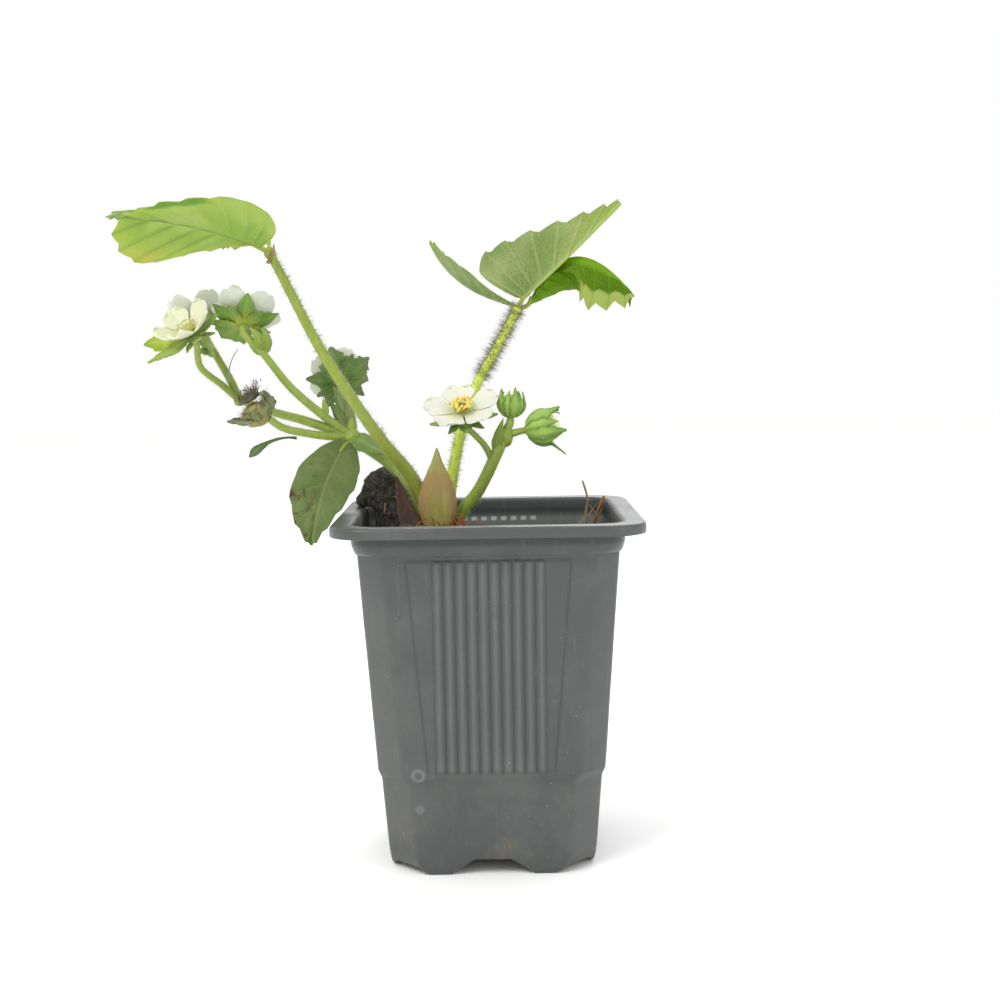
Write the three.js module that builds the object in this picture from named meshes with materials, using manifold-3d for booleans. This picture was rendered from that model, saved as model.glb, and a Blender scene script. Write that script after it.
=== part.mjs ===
import * as THREE from 'three';
import { mergeVertices } from 'three/addons/utils/BufferGeometryUtils.js';
import Module from 'manifold-3d';

// A strawberry plant in a square nursery pot, in millimetres, +Z up, the pot's front towards -Y.
// The origin lies under the middle of the pot, on the plane that its feet stand on.

const gap = 0.3; // clearance between two pieces that touch
const bladeThickness = 0.7; // leaves, petals and sepals
const up = new THREE.Vector3(0, 0, 1);
const seed = 7;

// Pot: half widths, and how far the corners are cut off, at the heights where its wall turns
const potHeight = 102;
const potWall = 0.9;
const potLevels = [
  { z: 0, half: 29.6, corner: 8.6 },
  { z: 3, half: 30.2, corner: 8.2 },
  { z: 27, half: 32.0, corner: 8.6 },
  { z: 29.5, half: 32.9, corner: 7.8 },
  { z: 94, half: 37.2, corner: 7.5 },
];
const collar = { bottom: 93.4, height: 3, start: 36.9, foot: 37.6, half: 38.6, corner: 9 };
const rim = { half: 44.3, corner: 12, lip: 3.2, thickness: 1, bevel: 0.7 };
const flutes = { count: 10, pitch: 3.2, bottom: 30, top: 92.5, halfWidth: 1.5, relief: 0.7 };
const floorHeight = 4.4;
const notch = { height: 4.2, halfTop: 5.2, halfBottom: 12.2 };
const cornerLift = { height: 4, start: 17.5, end: 26 };
const skirtWidth = 3;
const pad = { radius: 8, wall: 1 };
const drain = { radius: 3, place: 19.5 };

// Soil: its level, the low rise towards the crown, and the clump of peat left of the crown
const soil = { level: 88, rise: 3.5, roughness: 0.5, rings: 4 };
const clump = { place: [-32.5, 20, 100], size: [9.5, 8, 13], roughness: 0.16, reach: 41 };

// Crown: the short stock that every leaf and flower stalk grows from
const crown = { place: [-14, -2, 0], bottom: 79, top: 98.6, radius: 7.6 };
const sheath = { place: [-14.8, -9.4], bottom: 93, top: 121.6, halfWidth: 5.6, halfDepth: 2.2 };

// Routes of the stalks, from the crown outwards, and their radii at both ends
const leftPetiole = {
  route: [[-16, -1.8, 95], [-18.6, -3, 104.6], [-23.2, -5.6, 113.9], [-30.5, -11, 123.8],
    [-39.3, -16, 137.7], [-48, -18.4, 152.7], [-55.6, -19.6, 168.3], [-60.4, -20, 178.2]],
  radii: [2.1, 1.2],
};
const rightPetiole = {
  route: [[-12.6, 0.5, 95], [-11.8, 2, 103.6], [-10.8, 3, 111.1], [-8.5, 6, 123], [-5.7, 9, 133.4],
    [-1.9, 12, 141.5], [4.4, 14, 152.4], [9.6, 15, 162]],
  radii: [1.9, 1.2],
};
const straws = {
  dry_stalk: {
    route: [[30.8, 20.4, 84], [30.4, 20, 97], [31, 20, 103.4], [29.6, 20.4, 108.8]],
    radii: [0.7, 0.45],
  },
  dry_stick: {
    route: [[31.6, 23.6, 84], [33.6, 22.6, 96.4], [36.4, 21, 103.8]],
    radii: [0.75, 0.55],
  },
};
const fork = [-41.1, 8, 124.3]; // where the left flower stalk divides
const secondFork = [-75, 8, 136];
const rightFork = [5.6, -9, 125.4];

// A flower's middle, the way it faces, its first petal's angle from +X, how far it cups, the size of
// its petals and sepals, and where its sepals are leafy: the angle, how much longer and how much wider
const flowers = {
  outer: {
    place: [-86.6, -6, 156.4], facing: [-0.36, -0.5, 0.76], turn: 52, cup: 34, petals: 0.93, sepals: 1.3,
    leafy: { angle: 178, longer: 1.15, wider: 0.9 },
  },
  back: {
    place: [-87.4, 13, 161], facing: [-0.25, 0.3, 0.9], turn: 18, cup: 30, petals: 1, sepals: 1,
    leafy: { angle: 0, longer: 0, wider: 0 },
  },
  top: {
    place: [-71.6, 1.5, 159.9], facing: [0.06, 0.62, 0.78], turn: 30, cup: 26, petals: 1.06, sepals: 1.3,
    leafy: { angle: 150, longer: 0.1, wider: 0.8, droop: 0.3 }, hug: 0.8, breadth: 1.4,
  },
  middle: {
    place: [-45.6, 19.5, 141.6], facing: [-0.3, 0.82, 0.4], turn: 80, cup: 24, petals: 0.95, sepals: 1.35,
    leafy: { angle: 300, longer: 0.15, wider: 0.4 }, hug: 0.6, breadth: 1.5,
  },
  right: {
    place: [-7, -12, 132.2], facing: [-0.08, -0.5, 0.86], turn: 26, cup: 14, petals: 1.14, sepals: 1.1,
    leafy: { angle: 0, longer: 0, wider: 0 },
  },
};
const petal = { length: 10, width: 7.8, widest: 0.58, hub: 2.3 };
const sepal = { length: 7.4, halfWidth: 1.5, narrow: 0.62 };
const calyxDepth = 2.2;
const stamens = { count: 6, height: 2.7, ring: 1.6 };
const buds = {
  upright: { place: [6.9, -9, 130], facing: [0.08, 0, 1], length: 8.8, width: 7.8, open: 0.25 },
  side: { place: [11.2, -9, 126.4], facing: [0.95, 0, 0.16], length: 11.8, width: 10.6, open: 0.5 },
};
const spent = { place: [-66.4, -4, 129], facing: [-0.42, -0.1, 0.9] };

const colours = {
  pot: 0x676b6a, soil: 0x2c241e, crown: 0x7a6240, sheath: 0x8c8248, stipule: 0x7a4a32,
  petiole: 0xa3b85c, leafTop: 0x678d2b, leafUnder: 0x9ab35a, oldLeaf: 0x70824d,
  stalk: 0x86a043, petal: 0xf2f3e6, calyx: 0x8aa84c, centre: 0xd8bf45, dry: 0x6e5a3a, spent: 0x7d8560,
};

const wasm = await Module();
wasm.setup();
const model = new THREE.Group();
const vector = (values) => new THREE.Vector3(...values);
const mix = THREE.MathUtils.lerp;
const radians = THREE.MathUtils.degToRad;

// Even noise from -1 to 1 that is the same on every run
function noise(x, y, z) {
  const wave = Math.sin(x * 12.9898 + y * 78.233 + z * 37.719 + seed) * 43758.5453;
  return 2 * (wave - Math.floor(wave)) - 1;
}

function solidOf(geometry) {
  const bare = geometry.clone();
  bare.deleteAttribute('normal');
  bare.deleteAttribute('uv');
  const merged = mergeVertices(bare, 1e-4);
  return new wasm.Manifold(new wasm.Mesh({
    numProp: 3,
    vertProperties: new Float32Array(merged.attributes.position.array),
    triVerts: new Uint32Array(merged.index.array),
  }));
}

// Only the largest body is kept, which fills a hollow that joining sealed and drops a loose scrap
function geometryOf(solid) {
  const [whole] = solid.decompose().sort((a, b) => b.volume() - a.volume());
  const mesh = whole.getMesh();
  const geometry = new THREE.BufferGeometry();
  geometry.setAttribute('position', new THREE.BufferAttribute(mesh.vertProperties, 3));
  geometry.setIndex(new THREE.BufferAttribute(mesh.triVerts, 1));
  geometry.computeVertexNormals();
  return geometry;
}

const joined = (geometries) => geometries.map(solidOf).reduce((whole, part) => whole.add(part));

function addPiece(name, geometry, colour, roughness = 0.6, parent = model) {
  const material = new THREE.MeshStandardMaterial({ color: colour, roughness, metalness: 0 });
  const mesh = new THREE.Mesh(geometry, material);
  mesh.name = name;
  parent.add(mesh);
  return mesh;
}

// A closed solid through rings of points that run counterclockwise round the way they are listed
function loft(rings) {
  const count = rings[0].length;
  const points = rings.flat();
  const faces = [];
  for (let k = 0; k + 1 < rings.length; k++) {
    for (let i = 0; i < count; i++) {
      const a = k * count + i;
      const b = k * count + (i + 1) % count;
      faces.push(a, b, b + count, a, b + count, a + count);
    }
  }
  const middle = (ring) => ring.reduce((sum, p) => sum.add(p), new THREE.Vector3()).divideScalar(count);
  points.push(middle(rings[0]), middle(rings.at(-1)));
  const last = (rings.length - 1) * count;
  for (let i = 0; i < count; i++) {
    const next = (i + 1) % count;
    faces.push(points.length - 2, next, i, points.length - 1, last + i, last + next);
  }
  return indexed(points, faces);
}

function indexed(points, faces) {
  const geometry = new THREE.BufferGeometry().setFromPoints(points);
  geometry.setIndex(faces);
  geometry.computeVertexNormals();
  return geometry;
}

// A round stalk along a smooth curve through its route, tapering from one radius to the other
function stalk(route, radii, sides = 8, steps = route.length * 2) {
  const curve = new THREE.CatmullRomCurve3(route.map(vector));
  const frames = curve.computeFrenetFrames(steps, false);
  const rings = [];
  for (let k = 0; k <= steps; k++) {
    const centre = curve.getPointAt(k / steps);
    const radius = mix(radii[0], radii[1], k / steps);
    const ring = [];
    for (let i = 0; i < sides; i++) {
      const angle = (2 * Math.PI * i) / sides;
      ring.push(centre.clone()
        .addScaledVector(frames.normals[k], radius * Math.cos(angle))
        .addScaledVector(frames.binormals[k], radius * Math.sin(angle)));
    }
    rings.push(ring);
  }
  return loft(rings);
}

// A lumpy ball, stretched to its size, for knots, buds and clods
function ball(place, size, roughness = 0, detail = 1) {
  const geometry = mergeVertices(new THREE.IcosahedronGeometry(1, detail).deleteAttribute('normal')
    .deleteAttribute('uv'), 1e-4);
  const position = geometry.attributes.position;
  for (let i = 0; i < position.count; i++) {
    const p = new THREE.Vector3().fromBufferAttribute(position, i);
    p.multiplyScalar(1 + roughness * noise(Math.round(p.x * 9), Math.round(p.y * 9), Math.round(p.z * 9)));
    position.setXYZ(i, place[0] + p.x * size[0], place[1] + p.y * size[1], place[2] + p.z * size[2]);
  }
  return geometry;
}

// A thin blade from the grid of points on its middle surface, with the same triangles on both faces
function blade(grid, thickness = bladeThickness) {
  const rows = grid.length;
  const columns = grid[0].length;
  const at = (i, j) => grid[THREE.MathUtils.clamp(i, 0, rows - 1)][THREE.MathUtils.clamp(j, 0, columns - 1)];
  const over = [];
  const under = [];
  for (let i = 0; i < rows; i++) {
    for (let j = 0; j < columns; j++) {
      const along = at(i + 1, j).clone().sub(at(i - 1, j));
      const across = at(i, j + 1).clone().sub(at(i, j - 1));
      const normal = along.cross(across).normalize().multiplyScalar(thickness / 2);
      over.push(at(i, j).clone().add(normal));
      under.push(at(i, j).clone().sub(normal));
    }
  }
  const faces = [];
  const shift = rows * columns;
  for (let i = 0; i + 1 < rows; i++) {
    for (let j = 0; j + 1 < columns; j++) {
      const a = i * columns + j;
      const b = a + columns;
      for (const [p, q, r] of [[a, b, b + 1], [a, b + 1, a + 1]]) {
        faces.push(p, q, r, p + shift, r + shift, q + shift);
      }
    }
  }
  const edge = [];
  for (let i = 0; i < rows; i++) edge.push(i * columns);
  for (let j = 1; j < columns; j++) edge.push((rows - 1) * columns + j);
  for (let i = rows - 2; i >= 0; i--) edge.push(i * columns + columns - 1);
  for (let j = columns - 2; j > 0; j--) edge.push(j);
  edge.forEach((a, k) => {
    const b = edge[(k + 1) % edge.length];
    faces.push(a + shift, b + shift, b, a + shift, b, a);
  });
  return indexed([...over, ...under], faces);
}

// The middle surface of a leaflet. Its midrib bends from base over bow to tip; each half has its own
// width, its angle above the level, and where it is widest. Columns run out along the side veins,
// every second one ends in a tooth, and the blade rises a little between the veins.
function leafletGrid({ base, bow, tip, left, right, upward = [0, 0, 1], teeth = 7, across = 2,
  toothDepth = 1.4, pleat = 0.35, curl = 0 }) {
  const midrib = new THREE.QuadraticBezierCurve3(vector(base), vector(bow), vector(tip));
  const length = midrib.getLength();
  const columns = 2 * teeth + 4;
  const firstTooth = 4;
  const outline = (half, t) => {
    const skew = Math.log(0.5) / Math.log(half.widest);
    return Math.max(0.35, half.width * Math.sin(Math.PI * Math.min(1, t ** skew)) ** 0.9);
  };
  const point = (x, y) => {
    const t = THREE.MathUtils.clamp(x / length, 0, 1);
    const along = midrib.getTangentAt(t);
    const side = vector(upward).cross(along).normalize();
    const normal = along.clone().cross(side);
    const half = y >= 0 ? left : right;
    const spread = Math.abs(y);
    const angle = radians(half.angle);
    const lift = spread * Math.sin(angle) + (curl * spread * spread) / half.width;
    return midrib.getPointAt(t).addScaledVector(along, x - t * length)
      .addScaledVector(side, y * Math.cos(angle)).addScaledVector(normal, lift);
  };
  const grid = [];
  for (let i = 0; i <= columns; i++) {
    const c = i / columns;
    const root = length * c * (0.55 + 0.45 * c);
    const edgeAt = (length * (1 - Math.cos(Math.PI * c))) / 2;
    const behind = (1 - c) ** 2 * Math.min(1, i / 2);
    const shift = (half) => 6.75 * (half.ahead ?? 0) * c * c * (1 - c) - (half.lobe ?? 0) * behind;
    const isTooth = i >= firstTooth && (i - firstTooth) % 2 === 0;
    const row = [];
    for (let j = -across; j <= across; j++) {
      const half = j >= 0 ? left : right;
      const share = Math.abs(j) / across;
      const tooth = isTooth && share === 1 && i < columns ? toothDepth : 0;
      const forward = tooth * (0.35 + 0.75 * c);
      const reach = (outline(half, edgeAt / length) + tooth * (1 - 0.6 * c)) * Math.sign(j);
      const between = isTooth || i === 0 ? 0 : pleat * 4 * share * (1 - share);
      const p = point(mix(root, edgeAt + forward + shift(half), share), reach * share);
      p.z += between;
      row.push(p);
    }
    grid.push(row);
  }
  return grid;
}

// A leaflet on its short stalk, which starts beside the knot at the end of the petiole
function leaflet(name, knot, knotRadius, shape, colour) {
  const start = vector(knot);
  const base = vector(shape.base);
  start.addScaledVector(base.clone().sub(start).normalize(), knotRadius + gap);
  const ahead = vector(shape.bow).sub(base).normalize().multiplyScalar(3).add(base);
  const halfway = start.clone().lerp(base, 0.5);
  const neck = stalk([start.toArray(), halfway.toArray(), shape.base, ahead.toArray()], [0.75, 0.55], 6, 4);
  addPiece(name, geometryOf(joined([blade(leafletGrid(shape)), neck])), colour, 0.6);
}

// One level of the pot: a square whose corners are cut straight, or rounded as round nears 1
function squareRing(z, half, corner, round = 0, steps = 3) {
  const ring = [];
  for (let k = 0; k < 4; k++) {
    for (let s = 0; s <= steps; s++) {
      const t = s / steps;
      const angle = (t * Math.PI) / 2;
      const x = mix(half - corner * t, half - corner + corner * Math.cos(angle), round);
      const y = mix(half - corner * (1 - t), half - corner + corner * Math.sin(angle), round);
      ring.push(new THREE.Vector3(x, y, z).applyAxisAngle(up, (k * Math.PI) / 2));
    }
  }
  return ring;
}

const squareBlock = (...levels) => solidOf(loft(levels.map((level) => squareRing(...level))));

function potHalfAt(z) {
  const above = Math.max(1, potLevels.findIndex((level) => level.z >= z));
  const [low, high] = [potLevels[above - 1], potLevels[above]];
  return mix(low.half, high.half, (z - low.z) / (high.z - low.z));
}

// One convex flute on the front face
function flute(x) {
  const level = (z, relief) => {
    const face = -potHalfAt(z);
    return [[flutes.halfWidth, 0.1], [0, -relief], [-flutes.halfWidth, 0.1]]
      .map(([dx, dy]) => new THREE.Vector3(x - dx, face + dy, z));
  };
  const { bottom, top, relief } = flutes;
  return loft([level(bottom, relief), level(top, relief)]);
}

// What is cut away under one side's edge: a flat notch in the middle, and a rise towards each corner
function edgeCutters() {
  const cut = (outline, from, to) => {
    const shape = new THREE.Shape(outline.map(([x, z]) => new THREE.Vector2(x, z)));
    const block = new THREE.ExtrudeGeometry(shape, { depth: to - from, bevelEnabled: false });
    return solidOf(block.rotateX(Math.PI / 2).translate(0, -from, 0));
  };
  const far = 60;
  const { start, end, height } = cornerLift;
  const rise = [[start, -1], [start, 0], [mix(start, end, 0.35), 0.12 * height],
    [mix(start, end, 0.7), 0.6 * height], [end, height], [far, height], [far, -1]];
  const middle = [[-notch.halfBottom, -1], [notch.halfBottom, -1], [notch.halfBottom, 0],
    [notch.halfTop, notch.height], [-notch.halfTop, notch.height], [-notch.halfBottom, 0]];
  const mirrored = rise.map(([x, z]) => [-x, z]).reverse();
  return [cut(middle, 20, far), cut(rise, start, far), cut(mirrored, start, far)];
}

function makePot() {
  const outer = potLevels.map(({ z, half, corner }) => [z, half, corner]);
  const inner = potLevels.filter(({ z }) => z > floorHeight + potWall)
    .map(({ z, half, corner }) => [z, half - potWall, corner]);
  const innerFloor = [floorHeight + potWall, potHalfAt(floorHeight) - potWall, potLevels[1].corner];
  const { half, corner, bottom, height } = collar;
  const rimLow = potHeight - rim.lip;
  const rimUnder = potHeight - rim.thickness;
  let body = squareBlock(...outer);
  body = body.add(squareBlock([bottom - 0.6, collar.start, corner - 1, 0.5],
    [bottom, collar.foot, corner - 0.6, 0.8], [bottom + height, half, corner, 1],
    [potHeight - 0.4, half, corner, 1]));
  body = body.add(squareBlock([rimLow, rim.half, rim.corner, 1],
    [potHeight - rim.bevel, rim.half, rim.corner, 1],
    [potHeight, rim.half - rim.bevel, rim.corner - rim.bevel, 1]));
  const lipRoom = squareBlock([rimLow - 1, rim.half - potWall, rim.corner - potWall, 1],
    [rimUnder, rim.half - potWall, rim.corner - potWall, 1]);
  body = body.subtract(lipRoom.subtract(squareBlock([bottom + height - 3, half, corner, 1],
    [potHeight, half, corner, 1])).subtract(squareBlock(...outer.slice(-2))));
  const quarter = [0, 1, 2, 3];
  for (const k of quarter) {
    const turned = (geometry) => solidOf(geometry.rotateZ((k * Math.PI) / 2));
    for (let i = 0; i < flutes.count; i++) {
      body = body.add(turned(flute((i - (flutes.count - 1) / 2) * flutes.pitch)));
    }
  }
  body = body.subtract(squareBlock(innerFloor, ...inner,
    [bottom + height, half - potWall, corner - potWall, 1],
    [potHeight + 1, half - potWall + 0.2, corner - potWall, 1]));
  const under = potHalfAt(0) - skirtWidth;
  body = body.subtract(squareBlock([-1, under, 8], [floorHeight, under, 8]));
  for (const cutter of edgeCutters()) {
    for (const k of quarter) {
      body = body.subtract(cutter.rotate([0, 0, 90 * k]));
    }
  }
  const disc = (radius, low, high) => solidOf(new THREE.CylinderGeometry(radius, radius, high - low, 24)
    .rotateX(Math.PI / 2).translate(0, 0, (low + high) / 2));
  body = body.add(disc(pad.radius, 0, floorHeight + potWall / 2));
  body = body.subtract(disc(pad.radius - pad.wall, pad.wall, floorHeight + 2));
  for (const k of quarter) {
    const side = drain.place * Math.SQRT2;
    const angle = (k + 0.5) * Math.PI / 2;
    body = body.subtract(disc(drain.radius, -1, floorHeight + 3)
      .translate([side * Math.cos(angle), side * Math.sin(angle), 0]));
  }
  return body;
}

// The crown is a knobbly stock with rings where old leaves sat; grow widens it to cut seats on it
function crownSolid(grow = 0) {
  const [x, y] = crown.place;
  const rings = [];
  const levels = 7;
  for (let k = 0; k <= levels; k++) {
    const t = k / levels;
    const z = mix(crown.bottom - grow, crown.top + grow, t);
    const swell = 0.72 + 0.28 * Math.sin(Math.PI * Math.min(1, t * 1.25)) - 0.25 * t ** 6;
    const ring = [];
    for (let i = 0; i < 12; i++) {
      const angle = (i * Math.PI) / 6;
      const radius = crown.radius * swell * (1 + 0.06 * noise(i, k, 1)) * (k % 2 ? 1.04 : 0.97) + grow;
      ring.push(new THREE.Vector3(x + radius * Math.cos(angle), y + radius * Math.sin(angle), z));
    }
    rings.push(ring);
  }
  return solidOf(loft(rings));
}
const crownSeat = crownSolid(gap);
const seated = (solid) => solid.subtract(crownSeat);

function makeSoil() {
  const room = potWall + 2 * gap;
  const bottom = floorHeight + potWall + gap;
  const side = (z) => squareRing(z, potHalfAt(z) - room, 8);
  const rings = [bottom, 28, 55, soil.level].map(side);
  const [x, y] = crown.place;
  for (let k = 1; k <= soil.rings; k++) {
    const t = 1 - k / (soil.rings + 1);
    const ring = rings[3].map((edge, i) => {
      const p = new THREE.Vector3(mix(x, edge.x, t), mix(y, edge.y, t), 0);
      p.z = soil.level + soil.rise * (1 - t) ** 0.8 + soil.roughness * noise(i, k, 3);
      return p;
    });
    rings.push(ring);
  }
  const heap = ball(clump.place, clump.size, clump.roughness, 1);
  const inside = potHalfAt(soil.level) - room;
  const overRim = potHeight + gap;
  const wallSide = squareBlock([50, inside - 2, 8], [soil.level, inside, 8], [overRim, inside, 8],
    [overRim + 0.2, clump.reach, 8], [130, clump.reach, 8]);
  const holes = Object.values(straws).map(({ route, radii }) => (
    solidOf(stalk(route, radii.map((radius) => radius + gap), 6, 5))));
  const whole = solidOf(loft(rings)).add(solidOf(heap).intersect(wallSide)).subtract(crownSeat);
  return holes.reduce((rest, hole) => rest.subtract(hole), whole);
}

function makeSheath() {
  const [x, y] = sheath.place;
  const rings = [];
  const levels = 7;
  for (let k = 0; k <= levels; k++) {
    const t = k / levels;
    const swell = Math.abs(Math.sin(Math.PI * t ** 0.85)) ** 1.3 + 0.25 * (1 - t) ** 2;
    const width = sheath.halfWidth * Math.max(0.05, swell);
    const depth = sheath.halfDepth * Math.max(0.1, 1 - t ** 2.2);
    const ring = [];
    for (let i = 0; i < 12; i++) {
      const angle = (i * Math.PI) / 6;
      const fold = i === 10 ? 1.18 : 1;
      ring.push(new THREE.Vector3(x + width * Math.cos(angle), y + depth * fold * Math.sin(angle) + 1.2 * t,
        mix(sheath.bottom, sheath.top, t)));
    }
    rings.push(ring);
  }
  return seated(solidOf(loft(rings)));
}

// A strap that narrows to both ends, for stipules, bracts and sepals
function strap(base, bow, tip, halfWidth, facing, { steps = 5, fold = 0, thickness = bladeThickness,
  ragged = 0, wide = 0.35, lines = [-1, 0, 1] } = {}) {
  const curve = new THREE.QuadraticBezierCurve3(vector(base), vector(bow), vector(tip));
  const grid = [];
  for (let i = 0; i <= steps; i++) {
    const t = i / steps;
    const along = curve.getTangentAt(t);
    const side = vector(facing).cross(along).normalize();
    const normal = along.clone().cross(side);
    const bulge = Math.sin(Math.PI * Math.min(1, t ** (Math.log(0.5) / Math.log(wide))));
    const reach = halfWidth * Math.max(0.1, 0.35 * (1 - t) + bulge) * (1 + ragged * noise(i, 5, halfWidth));
    grid.push(lines.map((j) => curve.getPointAt(t).addScaledVector(side, j * reach)
      .addScaledVector(normal, Math.abs(j) * reach * fold)));
  }
  return blade(grid, thickness);
}

// A flower's own frame: z is the way it faces, x points to +X as far as it can
function flowerFrame({ place, facing }) {
  const z = vector(facing).normalize();
  const x = new THREE.Vector3(1, 0, 0).projectOnPlane(z).normalize();
  const y = z.clone().cross(x);
  return new THREE.Matrix4().makeBasis(x, y, z).setPosition(...place);
}

// The point and the point before it that a stalk runs through to end under a flower or bud
function stalkEnd(shape, depth) {
  const back = vector(shape.facing).normalize();
  const end = vector(shape.place).addScaledVector(back, -(depth + gap));
  return [end.clone().addScaledVector(back, -2.2).toArray(), end.toArray()];
}

function petalRing({ cup, turn, petals }) {
  const rows = 4;
  const start = 1.8;
  const hub = new THREE.CylinderGeometry(petal.hub, petal.hub * 0.8, bladeThickness, 8);
  const pieces = [hub.rotateX(Math.PI / 2)];
  for (let k = 0; k < 5; k++) {
    const grid = [];
    for (let i = 0; i <= rows; i++) {
      const t = i / rows;
      const out = mix(start, petal.length * petals, t);
      const swell = Math.sqrt(Math.max(0.2, 1 - ((t - petal.widest) / 0.46) ** 2));
      const half = Math.min(0.6 * out, (petal.width / 2) * petals * swell);
      const raise = Math.tan(radians(cup)) * out * t ** 0.7 * (1 - 0.25 * t);
      grid.push([-1, 0, 1].map((j) => new THREE.Vector3(out, j * half, raise + 0.9 * Math.abs(j) * t)));
    }
    pieces.push(blade(grid).rotateZ(radians(turn + 72 * k)));
  }
  return geometryOf(joined(pieces));
}

// Five broad sepals with five narrow ones between them, on a shallow cup behind the petals
function calyxRing({ turn, cup, sepals, leafy, hug = 0.45, breadth = 1 }) {
  const cupShape = [[0, -calyxDepth], [1.6, -calyxDepth], [2.7, -1.6], [2.5, -0.7], [0, -0.7]]
    .map(([x, y]) => new THREE.Vector2(x, y));
  const pieces = [new THREE.LatheGeometry(cupShape, 8).rotateX(Math.PI / 2)];
  const start = 1.9;
  for (let k = 0; k < 10; k++) {
    const broad = k % 2 === 0;
    const angle = turn + 36 + 36 * k;
    const near = Math.max(0, Math.cos(radians(angle - leafy.angle))) ** 2;
    const length = sepal.length * sepals * (broad ? 1 : 0.8) * (1 + leafy.longer * near);
    const halfWidth = sepal.halfWidth * breadth * (broad ? 1 + leafy.wider * near : sepal.narrow);
    const droop = broad ? near * (leafy.droop ?? 0) : 0;
    const rise = Math.tan(radians(cup * hug * (broad ? 1 : 0.45))) * (1 - near * leafy.longer);
    const lift = (rise - droop) * length;
    const low = broad ? -1.05 : -1.85;
    const leaf = strap([start, 0, low], [start + length * 0.4, 0, low - 0.3 + lift * 0.3],
      [start + length * 0.85, 0, low - 0.5 + lift], halfWidth, [0, 0, 1],
      { steps: near > 0.5 && leafy.wider > 0 ? 3 : 2, wide: 0.45, lines: [-1, 1] });
    pieces.push(leaf.rotateZ(radians(angle)));
  }
  return geometryOf(joined(pieces));
}

// The domed heart of the flower with its ring of stamens
function flowerCentre() {
  const base = 0.35 + gap;
  const dome = [[0, base], [1.75, base], [1.9, base + 0.8], [1.3, base + 1.7], [0, base + 2.1]]
    .map(([x, y]) => new THREE.Vector2(x, y));
  const pieces = [new THREE.LatheGeometry(dome, 8).rotateX(Math.PI / 2)];
  for (let k = 0; k < stamens.count; k++) {
    const angle = (2 * Math.PI * (k + 0.5)) / stamens.count;
    const lean = 0.8 + 0.2 * noise(k, 2, 8);
    const level = (out, z, half) => [0, 1, 2].map((s) => {
      const turn = angle + (2 * Math.PI * s) / 3;
      return new THREE.Vector3(out * Math.cos(angle) + half * Math.cos(turn),
        out * Math.sin(angle) + half * Math.sin(turn), z);
    });
    const top = base + stamens.height + 0.3 * noise(k, 4, 1);
    pieces.push(loft([level(stamens.ring, base + 0.5, 0.3), level(stamens.ring + lean, top, 0.5)]));
  }
  return geometryOf(joined(pieces));
}

function addFlower(name, shape) {
  const group = new THREE.Group();
  flowerFrame(shape).decompose(group.position, group.quaternion, group.scale);
  addPiece(`${name}_flower_petals`, petalRing(shape), colours.petal, 0.55, group);
  addPiece(`${name}_flower_calyx`, calyxRing(shape), colours.calyx, 0.6, group);
  addPiece(`${name}_flower_centre`, flowerCentre(), colours.centre, 0.7, group);
  model.add(group);
}

// A closed bud: a ribbed body of wrapped sepals, whose ten tips stand out round its top
function budGeometry({ length, width, open }) {
  const rings = [];
  for (const [t, reach] of [[0, 0.25], [0.2, 0.8], [0.5, 1], [0.74, 0.6]]) {
    const ring = [];
    for (let i = 0; i < 20; i++) {
      const angle = (2 * Math.PI * i) / 20;
      const radius = (width / 2) * reach * (i % 2 ? 0.88 : 1);
      ring.push(new THREE.Vector3(radius * Math.cos(angle), radius * Math.sin(angle), t * length));
    }
    rings.push(ring);
  }
  const pieces = [loft(rings)];
  for (let k = 0; k < 10; k++) {
    const outer = k % 2 === 0;
    const out = (width / 2) * 0.72;
    const half = width * 0.13;
    const low = length * 0.56;
    const foot = [[out - 0.7, -half], [out + 0.45, 0], [out - 0.7, half]]
      .map(([x, y]) => new THREE.Vector3(x, y, low));
    const high = length * (outer ? 1 : 0.9);
    const spread = out * (outer ? 1 + open : 0.8);
    const tip = foot.map((p) => new THREE.Vector3(spread + (p.x - out) * 0.2, p.y * 0.2, high));
    pieces.push(loft([foot, tip]).rotateZ(radians(36 * k)));
  }
  return geometryOf(joined(pieces));
}

function addBud(name, shape) {
  const mesh = addPiece(name, budGeometry(shape), colours.calyx);
  flowerFrame(shape).decompose(mesh.position, mesh.quaternion, mesh.scale);
}

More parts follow.
